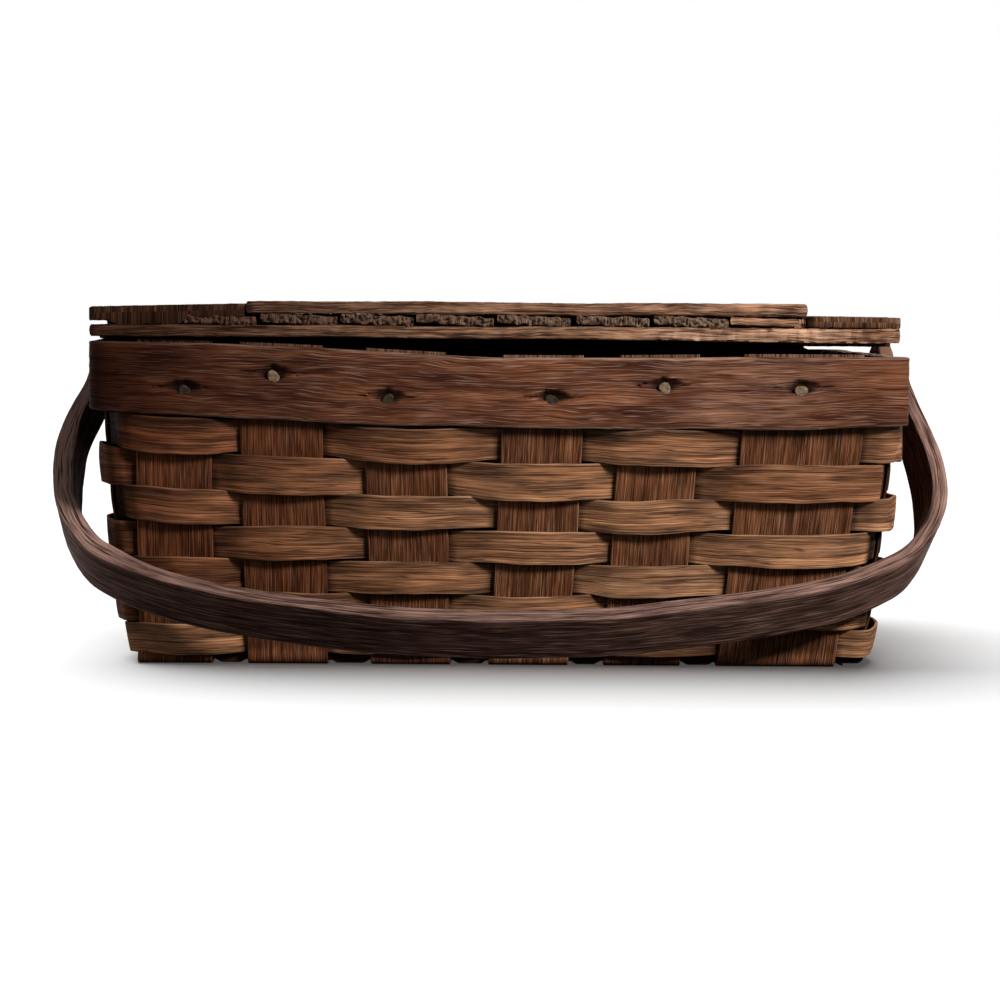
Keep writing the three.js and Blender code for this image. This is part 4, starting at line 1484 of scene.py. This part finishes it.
    def nails(self, spots: list[NailSpot]) -> None:
        """Models one nail head and drives a copy at each spot.

        Args:
            spots: where they go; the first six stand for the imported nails.
        """
        pattern = self.nail_head()
        face = self.shape.splint / 2.0 + self.shape.seat + self.shape.outer_rim
        draw = np.random.default_rng(21)
        for i, spot in enumerate(spots):
            run, height = np.array([spot.run]), np.array([spot.height])
            foot = Vector(self.loop.place(run, height, np.array([face - spot.sunk]))[0])
            _, _, out_x, out_y = (float(v[0]) for v in self.loop.at(run))
            turn = Vector((out_x, out_y, 0.0)).to_track_quat("Z", "Y").to_matrix().to_4x4()
            lean = Matrix.Rotation(draw.uniform(-0.12, 0.12), 4, "X")
            lean = lean @ Matrix.Rotation(draw.uniform(0, 6), 4, "Z")
            front = i < len(self.stakes.cross)
            copy = bpy.data.objects.new(f"front_nail_{i + 1}_head" if front else f"rim_nail_{i + 1}_head",
                                        pattern.data.copy())
            bpy.context.scene.collection.objects.link(copy)
            waves = draw.uniform(0.0, FULL_TURN, 2)
            for vertex in copy.data.vertices:
                angle = math.atan2(vertex.co.y, vertex.co.x)
                grown = 1.0 + 0.10 * math.sin(2.0 * angle + waves[0])
                grown += 0.07 * math.sin(3.0 * angle + waves[1])
                vertex.co = Vector((vertex.co.x * grown, vertex.co.y * grown, vertex.co.z))
            copy.data.transform(Matrix.Translation(foot) @ turn @ lean)
            # Deep nails take the darker copy of the steel: painted shade of their hollow.
            finish = NAIL_SHADED if spot.sunk >= self.deep else NAIL_STEEL
            hand_over(copy, finish, Body.BASKET, [f"front_nail_{i + 1}"] if front else [])
        bpy.data.objects.remove(pattern)

    def nail_head(self) -> Piece:
        """Models a flat hammered nail head with a short shank, pointing along Z.

        Returns:
            The pattern to copy.
        """
        bpy.ops.object.select_all(action="DESELECT")
        bpy.ops.mesh.primitive_cylinder_add(vertices=18, radius=self.head_radius, depth=self.head_height,
                                            location=(0.0, 0.0, self.head_height / 2.0))
        pattern = bpy.context.active_object
        bpy.ops.object.transform_apply(location=True, rotation=True, scale=True)
        bpy.ops.object.mode_set(mode="EDIT")
        bpy.ops.mesh.select_mode(type="FACE")
        select_faces(pattern, lambda centre, normal: normal.z > 0.9)
        bpy.ops.mesh.inset(thickness=0.3 * self.head_radius, depth=0.12 * self.head_height)
        bpy.ops.mesh.inset(thickness=0.3 * self.head_radius, depth=-0.10 * self.head_height)
        select_faces(pattern, lambda centre, normal: normal.z < -0.9)
        bpy.ops.mesh.inset(thickness=0.6 * self.head_radius, depth=0.0)
        bpy.ops.mesh.extrude_region_move(TRANSFORM_OT_translate={"value": (0.0, 0.0, -0.004)})
        bpy.ops.object.mode_set(mode="OBJECT")
        finish_edges(pattern, 0.00025, 2)
        return pattern


def select_faces(piece: Piece, wanted: Callable[[Vector, Vector], bool]) -> None:
    """Selects a piece's faces in edit mode by their middle and normal.

    Args:
        piece: the object in edit mode.
        wanted: says which faces to select.
    """
    bpy.ops.mesh.select_all(action="DESELECT")
    bpy.ops.object.mode_set(mode="OBJECT")
    for polygon in piece.data.polygons:
        polygon.select = wanted(polygon.center, polygon.normal)
    bpy.ops.object.mode_set(mode="EDIT")


def finish_edges(piece: Piece, width: float, segments: int) -> None:
    """Rounds a piece's sharp edges and smooths it.

    Args:
        piece: the object, active and selected.
        width: of the rounding.
        segments: faces round it.
    """
    bevel = piece.modifiers.new("rounding", "BEVEL")
    bevel.width = width
    bevel.segments = segments
    bevel.limit_method = "ANGLE"
    bevel.angle_limit = math.radians(35.0)
    bpy.ops.object.modifier_apply(modifier=bevel.name)
    bpy.ops.object.shade_smooth_by_angle(angle=math.radians(40.0))


# The handle

@dataclass
class Handle:
    """The bent bow and the ears that it hangs on.

    Attributes:
        shape: the basket's sizes.
        leg_bend: out from the leg's face and along from the pivot.
        shoulder: out from the leg's face and short of the full reach.
    """

    shape: BasketShape
    width: float = 0.027
    thickness: float = 0.008
    running_gap: float = 0.0005
    ear_thickness: float = 0.008
    grip_height: float = 0.0188
    grip_standoff: float = 0.0266
    twist: tuple[float, float] = (0.08, 0.25)
    right_pull: float = 0.0021
    left_pull: float = 0.0042
    left_flare: float = 0.0013
    left_thicker: float = 0.0026
    left_lean: float = 0.0011
    rounding: float = 0.006
    point_count: int = 420
    end_count: int = 60
    leg_bend: Pairs = ((0.0, 0.012), (0.002, 0.026), (0.006, 0.048))
    shoulder: Pairs = (
        (0.009, 0.1295), (0.010, 0.1105), (0.009, 0.0925), (0.005, 0.0775), (-0.0018, 0.0635),
        (-0.0098, 0.0515), (-0.0198, 0.043), (-0.0348, 0.034), (-0.0548, 0.025), (-0.0758, 0.019),
        (-0.1018, 0.013), (-0.1238, 0.009), (-0.1528, 0.004), (-0.1728, 0.0017))

    @property
    def pivot(self) -> float:
        """Height of the rivets."""
        return (self.shape.rim_top + self.shape.rim_bottom) / 2.0

    @property
    def leg_outside(self) -> float:
        """Outer face of a leg."""
        inside = self.shape.half_length + self.shape.seat + self.ear_thickness + self.running_gap
        return inside + self.thickness

    @property
    def fall(self) -> tuple[float, float]:
        """How far the grip hangs below the pivot, and in front of it."""
        return self.pivot - self.grip_height, self.shape.stake_half_depth + self.grip_standoff

    def bow_line(self) -> Array:
        """Outer line of the bow, drawn flat as span and reach, from the left tail to the right one.

        Returns:
            Evenly spaced points.
        """
        reach = math.hypot(*self.fall)
        right = [(self.leg_outside, -self.width / 2.0), (self.leg_outside, 0.0)]
        right += [(self.leg_outside + aside, along) for aside, along in self.leg_bend]
        right += [(self.leg_outside + aside, reach - short) for aside, short in self.shoulder]
        left = [(-x, r) for x, r in right]
        corners = np.array([*left, (0.0, reach), *reversed(right)])
        run, line = resampled(corners, self.point_count)
        step, pad = run[-1] / (self.point_count - 1), self.end_count
        for i in range(2):
            ends = np.concatenate([2.0 * line[0, i] - line[pad:0:-1, i], line[:, i],
                                   2.0 * line[-1, i] - line[-2:-pad - 2:-1, i]])
            slope = np.linspace(ends[0], ends[-1], len(ends))
            line[:, i] = (smoothed(ends - slope, step, self.rounding) + slope)[pad:-pad]
        x, r = line[:, 0].copy(), line[:, 1]
        pulled = self.left_pull * soft_step(r, 0.045, 0.125) * soft_step(-x, 0.04, 0.19)
        flared = self.left_flare * np.sin(math.pi * np.clip(r / 0.10, 0.0, 1.0)) ** 2
        line[:, 0] += np.where(x < 0.0, pulled - flared, 0.0)
        return line

    def build(self) -> None:
        """Models the bow and the ears."""
        tilt = math.atan2(*self.fall)
        line = self.bow_line()
        run, way = distances(line), headings(line)
        outward = np.stack([-way[:, 1], way[:, 0]], -1)
        tail = np.minimum(run, run[-1] - run)
        round_end = np.sqrt(np.clip(1.0 - np.clip(1.0 - tail / (self.width / 2.0), 0.0, 1.0) ** 2, 0.0, 1.0))
        half = self.width / 2.0 * np.maximum(round_end, 0.02)
        thicker = self.left_thicker * soft_step(-line[:, 0], 0.17, 0.20) * soft_step(line[:, 1], 0.035, 0.07)

        def place(along: Array, across: Array, through: Array) -> Array:
            """Points on the tilted, twisted bow."""
            depth = through - (self.thickness + np.interp(along, run, thicker)) / 2.0
            x, r = moved_out(along, run, line, outward, depth)
            bowed = np.sin(math.pi * np.clip((r - 0.02) / 0.16, 0.0, 1.0)) * soft_step(np.abs(x), 0.13, 0.2)
            x = x + bowed * np.where(x < 0.0, -self.twist[0] * across - self.left_lean,
                                    self.twist[1] * across - self.right_pull)
            y = -r * math.cos(tilt) - across * math.sin(tilt)
            z = self.pivot - r * math.sin(tilt) + across * math.cos(tilt)
            return np.stack([x, y, z], -1)

        def relief(along: Array, across: Array, through: Array) -> Array:
            """Unevenness of the bent wood."""
            return swell(along, 501, 0.17, 0.0003) + swell(along + 9.0 * across, 502, 0.04, 0.00015)

        x = line[:, 0]
        # The left leg gets painted light, in tone, worn colour and edges; the bow also pales towards its
        # right end.
        left_leg = soft_step(-x, 0.185, 0.205)
        lightened = 0.5 * left_leg + 0.20 * soft_step(x, 0.02, 0.16)
        tone = np.maximum(0.88 + 0.12 * soft_step(x, -0.2, 0.1), left_leg)
        piece = Strip("handle_bow_wood", run, -half + swell(run, 503, 0.2, 0.0004),
                      half + swell(run, 504, 0.15, 0.0004), self.thickness + thicker, place, columns=14,
                      edge=0.0009, seed=510, relief=relief, tone=tone, rubbed_and_lit=lightened,
                      edge_wear_and_lit=0.8 + 1.6 * left_leg).build()
        hand_over(piece, HANDLE_WOOD, Body.HANDLE, ["handle_bow"])
        for side in Side:
            self.ear(side)

    def ear(self, side: Side) -> None:
        """Models one wooden ear on the rim's end.

        Args:
            side: which end.
        """
        name = f"ear_{side.name.lower()}"
        low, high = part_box(name)
        top = self.shape.lid_bottom - 0.0001
        run = np.linspace(low.z, top, 24)
        narrow = np.clip(run - self.shape.rim_top + 0.001, 0.0, 1.0)
        middle = (low.x + high.x) / 2.0

        def place(along: Array, across: Array, through: Array) -> Array:
            """Points on an upright board."""
            return np.stack([middle + through, across, along], -1)

        piece = Strip(f"{name}_wood", run, low.y + 1.5 * narrow, high.y - 1.5 * narrow,
                      self.ear_thickness - 0.35 * narrow, place,
                      columns=12, edge=0.0012, seed=540 + side.value, tone=0.4 + 0.15 * (1 + side.value),
                      end_wear=0.1, edge_wear_and_lit=0.3).build()
        hand_over(piece, RIM_WOOD, Body.BASKET, [name])


# The lid

@dataclass
class Lid:
    """The framed, woven lid with its worn front edge.

    Attributes:
        shape: the basket's sizes.
    """

    shape: BasketShape
    cross_count: int = 8
    long_count: int = 6
    slide: float = -0.0021
    end_tilt: float = 0.0018
    block_end: float = -0.124
    end_stain: float = 0.42
    deeper: dict[str, float] = field(default_factory=lambda: {
        "lid_lower_left": 0.0017, "lid_lower_right": 0.0035, "lid_end_left": 0.0014})
    fray: float = 0.0030
    wider: float = 0.0013
    fill_reach: float = 0.195

    def board(self, name: str, along_x: bool, seed: int, lift: Course) -> None:
        """Models one frame strip in its packed place.

        Args:
            name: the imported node.
            along_x: whether its grain runs along X.
            seed: picks its grain.
            lift: rise along X.
        """
        low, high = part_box(name)
        if name.startswith("lid_upper"):
            low.x = self.block_end
        if name == "lid_upper_front":
            high.z += 0.0005
        if name == "lid_end_left":
            high.x = self.block_end - 0.0002
        low.z -= self.deeper.get(name, 0.0)
        piece = self.plank(f"{name}_wood", low, high, along_x, seed, lift)
        hand_over(piece, LID_WOOD, Body.LID, [name])

    def plank(self, name: str, low: Vector, high: Vector, along_x: bool, seed: int,
              lift: Course) -> Piece:
        """Models a worn strip between two corners.

        Args:
            name: the piece's name.
            low: its lowest corner.
            high: its highest corner.
            along_x: whether its grain runs along X.
            seed: picks its grain.
            lift: rise along X.

        Returns:
            The strip's object.
        """
        first, second = (low.x, high.x) if along_x else (low.y, high.y)
        run = np.linspace(first, second, max(12, int((second - first) / 0.0016)))
        edges = (low.y, high.y) if along_x else (low.x, high.x)
        sag = np.zeros_like(run)
        if name.startswith("lid_lower_front"):
            sag = 0.0003 + 0.0013 * soft_step(run, -0.05, 0.2)
        if name.startswith("lid_lower_back"):
            sag = 0.0042 * soft_step(run, 0.176, 0.188)
        level, thickness = (low.z + high.z) / 2.0, high.z - low.z + sag
        chiselled = soft_step(run, 0.06, 0.09) if name.startswith("lid_lower_front") else np.zeros_like(run)

        def place(along: Array, across: Array, through: Array) -> Array:
            """Points of the strip, with its sag, marks and fringe."""
            x, y = (along, across) if along_x else (across, along)
            lower = np.interp(along, run, sag) / 2.0
            marks = np.interp(along, run, chiselled) * crumble(along, 2.0 * through, seed + 6, 0.006, 0.0008)
            if name.startswith("lid_end_left"):
                near = 1.0 - soft_step(y, low.y + 0.002, low.y + 0.010)
                fringe = crumble(x, y, seed + 7, 0.008, 0.0006) * near
                drop = soft_step(x, -0.194, -0.186) * (1.0 - soft_step(x, -0.158, -0.153))
                drop = drop * (0.0006 + lift(x) + fringe)
                lower = lower + drop * np.clip(-2.0 * through / (high.z - low.z), 0.0, 1.0)
            return np.stack([x + self.slide, y + marks, level - lower + through + lift(x)], -1)

        def relief(along: Array, across: Array, through: Array) -> Array:
            """Unevenness of the worn face."""
            uneven = crumble(along, 4.0 * across, seed + 2, 0.014, 0.00012)
            return swell(along, seed + 1, 0.16, 0.0003) + uneven

        corner = np.minimum(run - first, second - run)
        rounding = 0.003 * (1.0 - soft_step(corner, 0.0, 0.004))
        chipped = swell(run, seed + 3, 0.1, 0.0004) + swell(run, seed + 5, 0.011, 0.00025)
        x = run if along_x else np.full_like(run, (low.x + high.x) / 2.0)
        tone = self.shape.stain_and_shade(x) * (1.0 if along_x else self.end_stain)
        split = 0.7 * chiselled * (1.0 - 0.6 * soft_step(run, 0.16, 0.19))
        if name.startswith("lid_upper_front"):
            split = 1.0 - soft_step(run, first + 0.002, first + 0.010)
        columns = max(6, int((edges[1] - edges[0]) / 0.003))
        return Strip(name, run, edges[0] + rounding + chipped,
                     edges[1] - rounding + swell(run, seed + 4, 0.1, 0.0005), thickness, place,
                     columns=columns, edge=0.0009, seed=seed, relief=relief, tone=tone, edge_wear_and_lit=0.25,
                     end_wear=0.1, rubbed_and_lit=split).build()

    def build(self) -> None:
        """Models the frame strips and the woven panel."""
        flat = lambda x: np.zeros_like(np.asarray(x, float))
        risen = lambda x: 0.0014 + 0.025 * (np.asarray(x, float) + 0.2)
        fallen = lambda x: -self.end_tilt * np.asarray(x, float) / 0.18
        tilted = lambda x: np.where(np.asarray(x) < 0.0, risen(x), fallen(x))
        for i, name in enumerate(("lid_lower_front", "lid_lower_back", "lid_upper_front", "lid_upper_back")):
            self.board(name, True, 600 + 10 * i, flat)
        for i, name in enumerate(("lid_lower_left", "lid_lower_right")):
            self.board(name, False, 650 + 10 * i, flat)
        for i, name in enumerate(("lid_end_left", "lid_end_right")):
            self.board(name, False, 670 + 10 * i, tilted)
        for i in range(self.cross_count):
            self.cross_splint(i)
        for i in range(self.long_count):
            self.long_splint(i)

    def cross_splint(self, index: int) -> None:
        """Models one cross splint, torn at the front edge.

        Args:
            index: which one, from the left.
        """
        name = f"lid_cross_{index + 1}"
        low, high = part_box(name)
        smooth = index == self.cross_count - 1
        if smooth:
            self.splinter(low, high)
            low.y += 0.0045
        inner = low.y + 0.010
        run = np.concatenate([np.arange(low.y, inner, 0.0007), np.arange(inner, high.y, 0.004), [high.y]])
        level = (low.z + high.z) / 2.0 - (0.0006 if index == 0 else 0.0)
        torn = 1.0 - soft_step(run, low.y + 0.003, low.y + 0.008)
        middle = (low.x + high.x) / 2.0
        thickness = (high.z - low.z) + self.fray * torn

        def place(along: Array, across: Array, through: Array) -> Array:
            """Points of the splint, lumpy at its torn end."""
            near = 1.0 - soft_step(along, low.y + 0.003, low.y + 0.009)
            lumps = crumble(across, through, 700 + index, 0.006, 0.0006)
            lumps = lumps + crumble(across, through, 720 + index, 0.003, 0.0003)
            shingle = -0.05 * (across - middle) + crumble(across, 0.3 * along, 730 + index, 0.012, 0.0004)
            return np.stack([across + self.slide, along + lumps * near, level + through + shingle * near], -1)

        def painted_shade_at(along: Array, across: Array, through: Array) -> Array:
            """Painted shade under the front strips."""
            return 0.6 * soft_step(along, low.y + 0.003, low.y + 0.006) * (1.0 - soft_step(along, 0.0, 0.02))

        spread = 0.0014 + 0.0003 * (index * 3 % 5) * torn
        piece = Strip(f"{name}_splint", run, low.x - spread + swell(run, 740 + index, 0.1, 0.0004),
                      high.x + spread + swell(run, 760 + index, 0.1, 0.0004), thickness, place, columns=44,
                      edge=0.0009, seed=780 + index, torn=(0.0008, 0.001), painted_shade=painted_shade_at, blunt=True,
                      edge_wear_and_lit=0.3, end_reach=0.008, end_wear=0.12 if smooth else 1.0,
                      tone=float(self.shape.stain_and_shade(middle))).build()
        finish = LID_WOOD if smooth else LID_SPLINT
        hand_over(piece, finish, Body.LID, [name])

    def splinter(self, low: Vector, high: Vector) -> None:
        """Models the smooth splinter that covers the last cross splint's end.

        Args:
            low: the splint's lowest corner.
            high: its highest corner.
        """
        middle = (low.z + high.z) / 2.0
        first, last = low.x - 0.003, high.x - 0.0015
        slope = lambda x: -0.03 * (np.asarray(x, float) - first) + 0.0005
        piece = self.plank("lid_splinter_wood", Vector((first, low.y - 0.0004, middle - 0.0017)),
                           Vector((last, low.y + 0.0036, middle + 0.0021)), True, 690, slope)
        hand_over(piece, LID_WOOD, Body.LID, [])

    def long_splint(self, index: int) -> None:
        """Models one long splint, woven over and under the cross splints.

        Args:
            index: which one, from the front.
        """
        name = f"lid_long_{index + 1}"
        low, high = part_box(name)
        level = (low.z + high.z) / 2.0
        filled = index == 0
        if filled:
            low.x, high.x = -self.fill_reach, self.fill_reach
        layer = 0.0 if filled else self.shape.layer
        knots, levels = [low.x], [-layer]
        for i in range(self.cross_count):
            first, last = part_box(f"lid_cross_{i + 1}")
            knots += [first.x - 0.0006, last.x + 0.0006]
            levels += 2 * [layer if (i + index) % 2 == 0 else -layer]
        knots.append(high.x)
        levels.append(-layer)
        run = np.linspace(low.x, high.x, 200)
        front = 0.0065 if filled else -self.wider
        thickness = 0.0056 - 0.0012 * soft_step(run, 0.150, 0.158) if filled else self.shape.splint

        def place(along: Array, across: Array, through: Array) -> Array:
            """Points over and under the cross splints."""
            height = level + np.interp(along, knots, levels) + through
            return np.stack([along + self.slide, across, height], -1)

        # The filled front splint under the front strips is darkened all over: painted shade.
        piece = Strip(f"{name}_splint", run, low.y + front + swell(run, 800 + index, 0.1, 0.0004),
                      high.y + self.wider + swell(run, 820 + index, 0.1, 0.0004), thickness, place,
                      columns=10, edge=0.0005, seed=840 + index, torn=(0.003, 0.003),
                      painted_shade=evenly(0.85) if filled else None, tone=self.shape.stain_and_shade(run)).build()
        hand_over(piece, LID_SPLINT, Body.LID, [name])


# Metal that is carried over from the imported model

def dress_metal() -> None:
    """Gives the rivets, staples and eyes their steel."""
    for side in Side:
        word = side.name.lower()
        for name, finish in ((f"rivet_{word}", NAIL_STEEL), (f"staple_{word}", HINGE_STEEL),
                             (f"eye_{word}", HINGE_STEEL)):
            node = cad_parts[name]
            node.data.materials.clear()
            node.data.materials.append(FINISHES.get(finish))
            LOG.info("%s: kept, in %s", name, finish.name)


# Stage, light and camera

@dataclass
class Studio:
    """A plain white floor, soft light and the camera.

    Attributes:
        eye: where the camera stands.
        lens: focal length on a sensor of 36 mm.
        pitch: how far it looks down.
        roll: how far it leans.
        target: what the lamps are aimed at.
        lamps: name, place, power in watts and size of each lamp's square face.
        sun_way: which way the floor's own light shines.
        ambient: how bright the room is to all but the eye.
    """

    eye: tuple[float, float, float] = (0.001, -1.435, 0.1777)
    lens: float = 94.1
    pitch: float = math.radians(3.98)
    roll: float = math.radians(0.35)
    floor_size: float = 12.0
    target: tuple[float, float, float] = (0.02, -0.1, 0.08)
    lamps: tuple[tuple[str, tuple[float, float, float], float, float], ...] = (
        ("key", (0.76, -0.84, 0.70), 30.0, 0.26), ("fill", (-1.15, -0.95, 0.42), 5.0, 0.9),
        ("back", (0.45, 1.25, 0.90), 11.0, 0.9))
    lamp_colour: tuple[float, float, float] = (1.0, 0.97, 0.93)
    sun_way: tuple[float, float, float] = (0.25, -0.32, -1.0)
    sun_power: float = 4.4
    sun_spread: float = math.radians(60.0)
    ambient: float = 0.10

    def build(self) -> None:
        """Makes the floor, the lights, the world and the camera."""
        floor = self.floor()
        for name, place, power, size in self.lamps:
            self.lamp(name, place, power, size, floor)
        self.floor_light(floor)
        self.world()
        self.camera()

    def floor(self) -> Piece:
        """Lays the floor.

        Returns:
            The floor, marked as stage.
        """
        bpy.ops.object.select_all(action="DESELECT")
        bpy.ops.mesh.primitive_plane_add(size=self.floor_size)
        floor = bpy.context.active_object
        floor.name = "floor"
        graph = Graph(bpy.data.materials.new("white_floor"))
        matt = graph.add("BsdfDiffuse", {"Color": (0.8, 0.8, 0.8, 1.0)})
        dim = graph.add("BsdfDiffuse", {"Color": (0.12, 0.12, 0.12, 1.0)})
        glow = graph.add("Emission", {"Color": WHITE, "Strength": 0.06})
        bright = graph.add("AddShader", {0: matt.outputs[0], 1: glow.outputs[0]})
        mixed = graph.add("MixShader", {0: graph.seen(), 1: dim.outputs[0], 2: bright.outputs[0]})
        floor.data.materials.append(graph.output(mixed))
        return floor

    def lamp(self, name: str, place: Sequence[float], power: float, size: float, floor: Piece) -> None:
        """Hangs one soft light, aimed at the basket.

        Args:
            name: the lamp's name.
            place: where it hangs.
            power: in watts.
            size: of its square face.
            floor: which it leaves to the floor's own light.
        """
        light = bpy.data.lights.new(name, "AREA")
        light.energy = power
        light.size = size
        light.color = self.lamp_colour
        lamp = self.hang(light, Vector(self.target) - Vector(place))
        lamp.location = place
        lamp.light_linking.receiver_collection = self.group(f"not_{name}_lit", floor, "EXCLUDE")

    def hang(self, light: bpy.types.Light, way: Vector) -> Piece:
        """Adds a light's object, turned to shine along a direction.

        Args:
            light: the lamp's data.
            way: which way it shines.

        Returns:
            The lamp.
        """
        lamp = bpy.data.objects.new(light.name, light)
        bpy.context.scene.collection.objects.link(lamp)
        lamp.rotation_euler = way.to_track_quat("-Z", "Y").to_euler()
        return lamp

    def group(self, name: str, member: Piece, state: str) -> bpy.types.Collection:
        """A collection of one object that a lamp lights alone or leaves out.

        Args:
            name: the collection's name.
            member: the object.
            state: INCLUDE or EXCLUDE.

        Returns:
            The collection.
        """
        made = bpy.data.collections.new(name)
        made.objects.link(member)
        made.collection_objects[0].light_linking.link_state = state
        return made

    def floor_light(self, floor: Piece) -> None:
        """Lights the floor alone from the left, so that the shadow falls to the right.

        Args:
            floor: what it lights.
        """
        light = bpy.data.lights.new("floor_light", "SUN")
        light.energy = self.sun_power
        light.angle = self.sun_spread
        lamp = self.hang(light, Vector(self.sun_way))
        lamp.light_linking.receiver_collection = self.group("lit_floor", floor, "INCLUDE")
        handle = bpy.data.objects["handle_bow_wood"]
        lamp.light_linking.blocker_collection = self.group("casts_no_floor_shadow", handle, "EXCLUDE")

    def world(self) -> None:
        """White to the eye and in mirrors, a soft grey to everything else."""
        world = bpy.data.worlds.new("studio")
        bpy.context.scene.world = world
        graph = Graph(world)
        strength = graph.span(graph.seen(), 0.0, 1.0, self.ambient, 1.0)
        graph.output(graph.add("Background", {"Color": WHITE, "Strength": strength}), "World")

    def camera(self) -> None:
        """Places the camera level with the lid, looking slightly down."""
        lens = bpy.data.cameras.new("camera")
        lens.lens = self.lens
        lens.sensor_width = 36.0
        lens.sensor_fit = "HORIZONTAL"
        lens.clip_end = 50.0
        camera = bpy.data.objects.new("camera", lens)
        bpy.context.scene.collection.objects.link(camera)
        turn = Matrix.Rotation(math.radians(90.0) - self.pitch, 4, "X") @ Matrix.Rotation(self.roll, 4, "Z")
        camera.matrix_world = Matrix.Translation(self.eye) @ turn
        bpy.context.scene.camera = camera
        bpy.context.scene.view_settings.view_transform = "Standard"


def main() -> None:
    """Builds the basket's looks piece by piece."""
    logging.basicConfig(level=logging.INFO, format="%(message)s")
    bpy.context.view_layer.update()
    shape = BasketShape.from_frame()
    loop = WallLoop(shape)
    stakes = Stakes(shape)
    stakes.build()
    Weave(shape, loop, stakes).build()
    Rim(shape, loop, stakes).build()
    Handle(shape).build()
    Lid(shape).build()
    dress_metal()
    Studio().build()


if __name__ == "__main__":
    main()
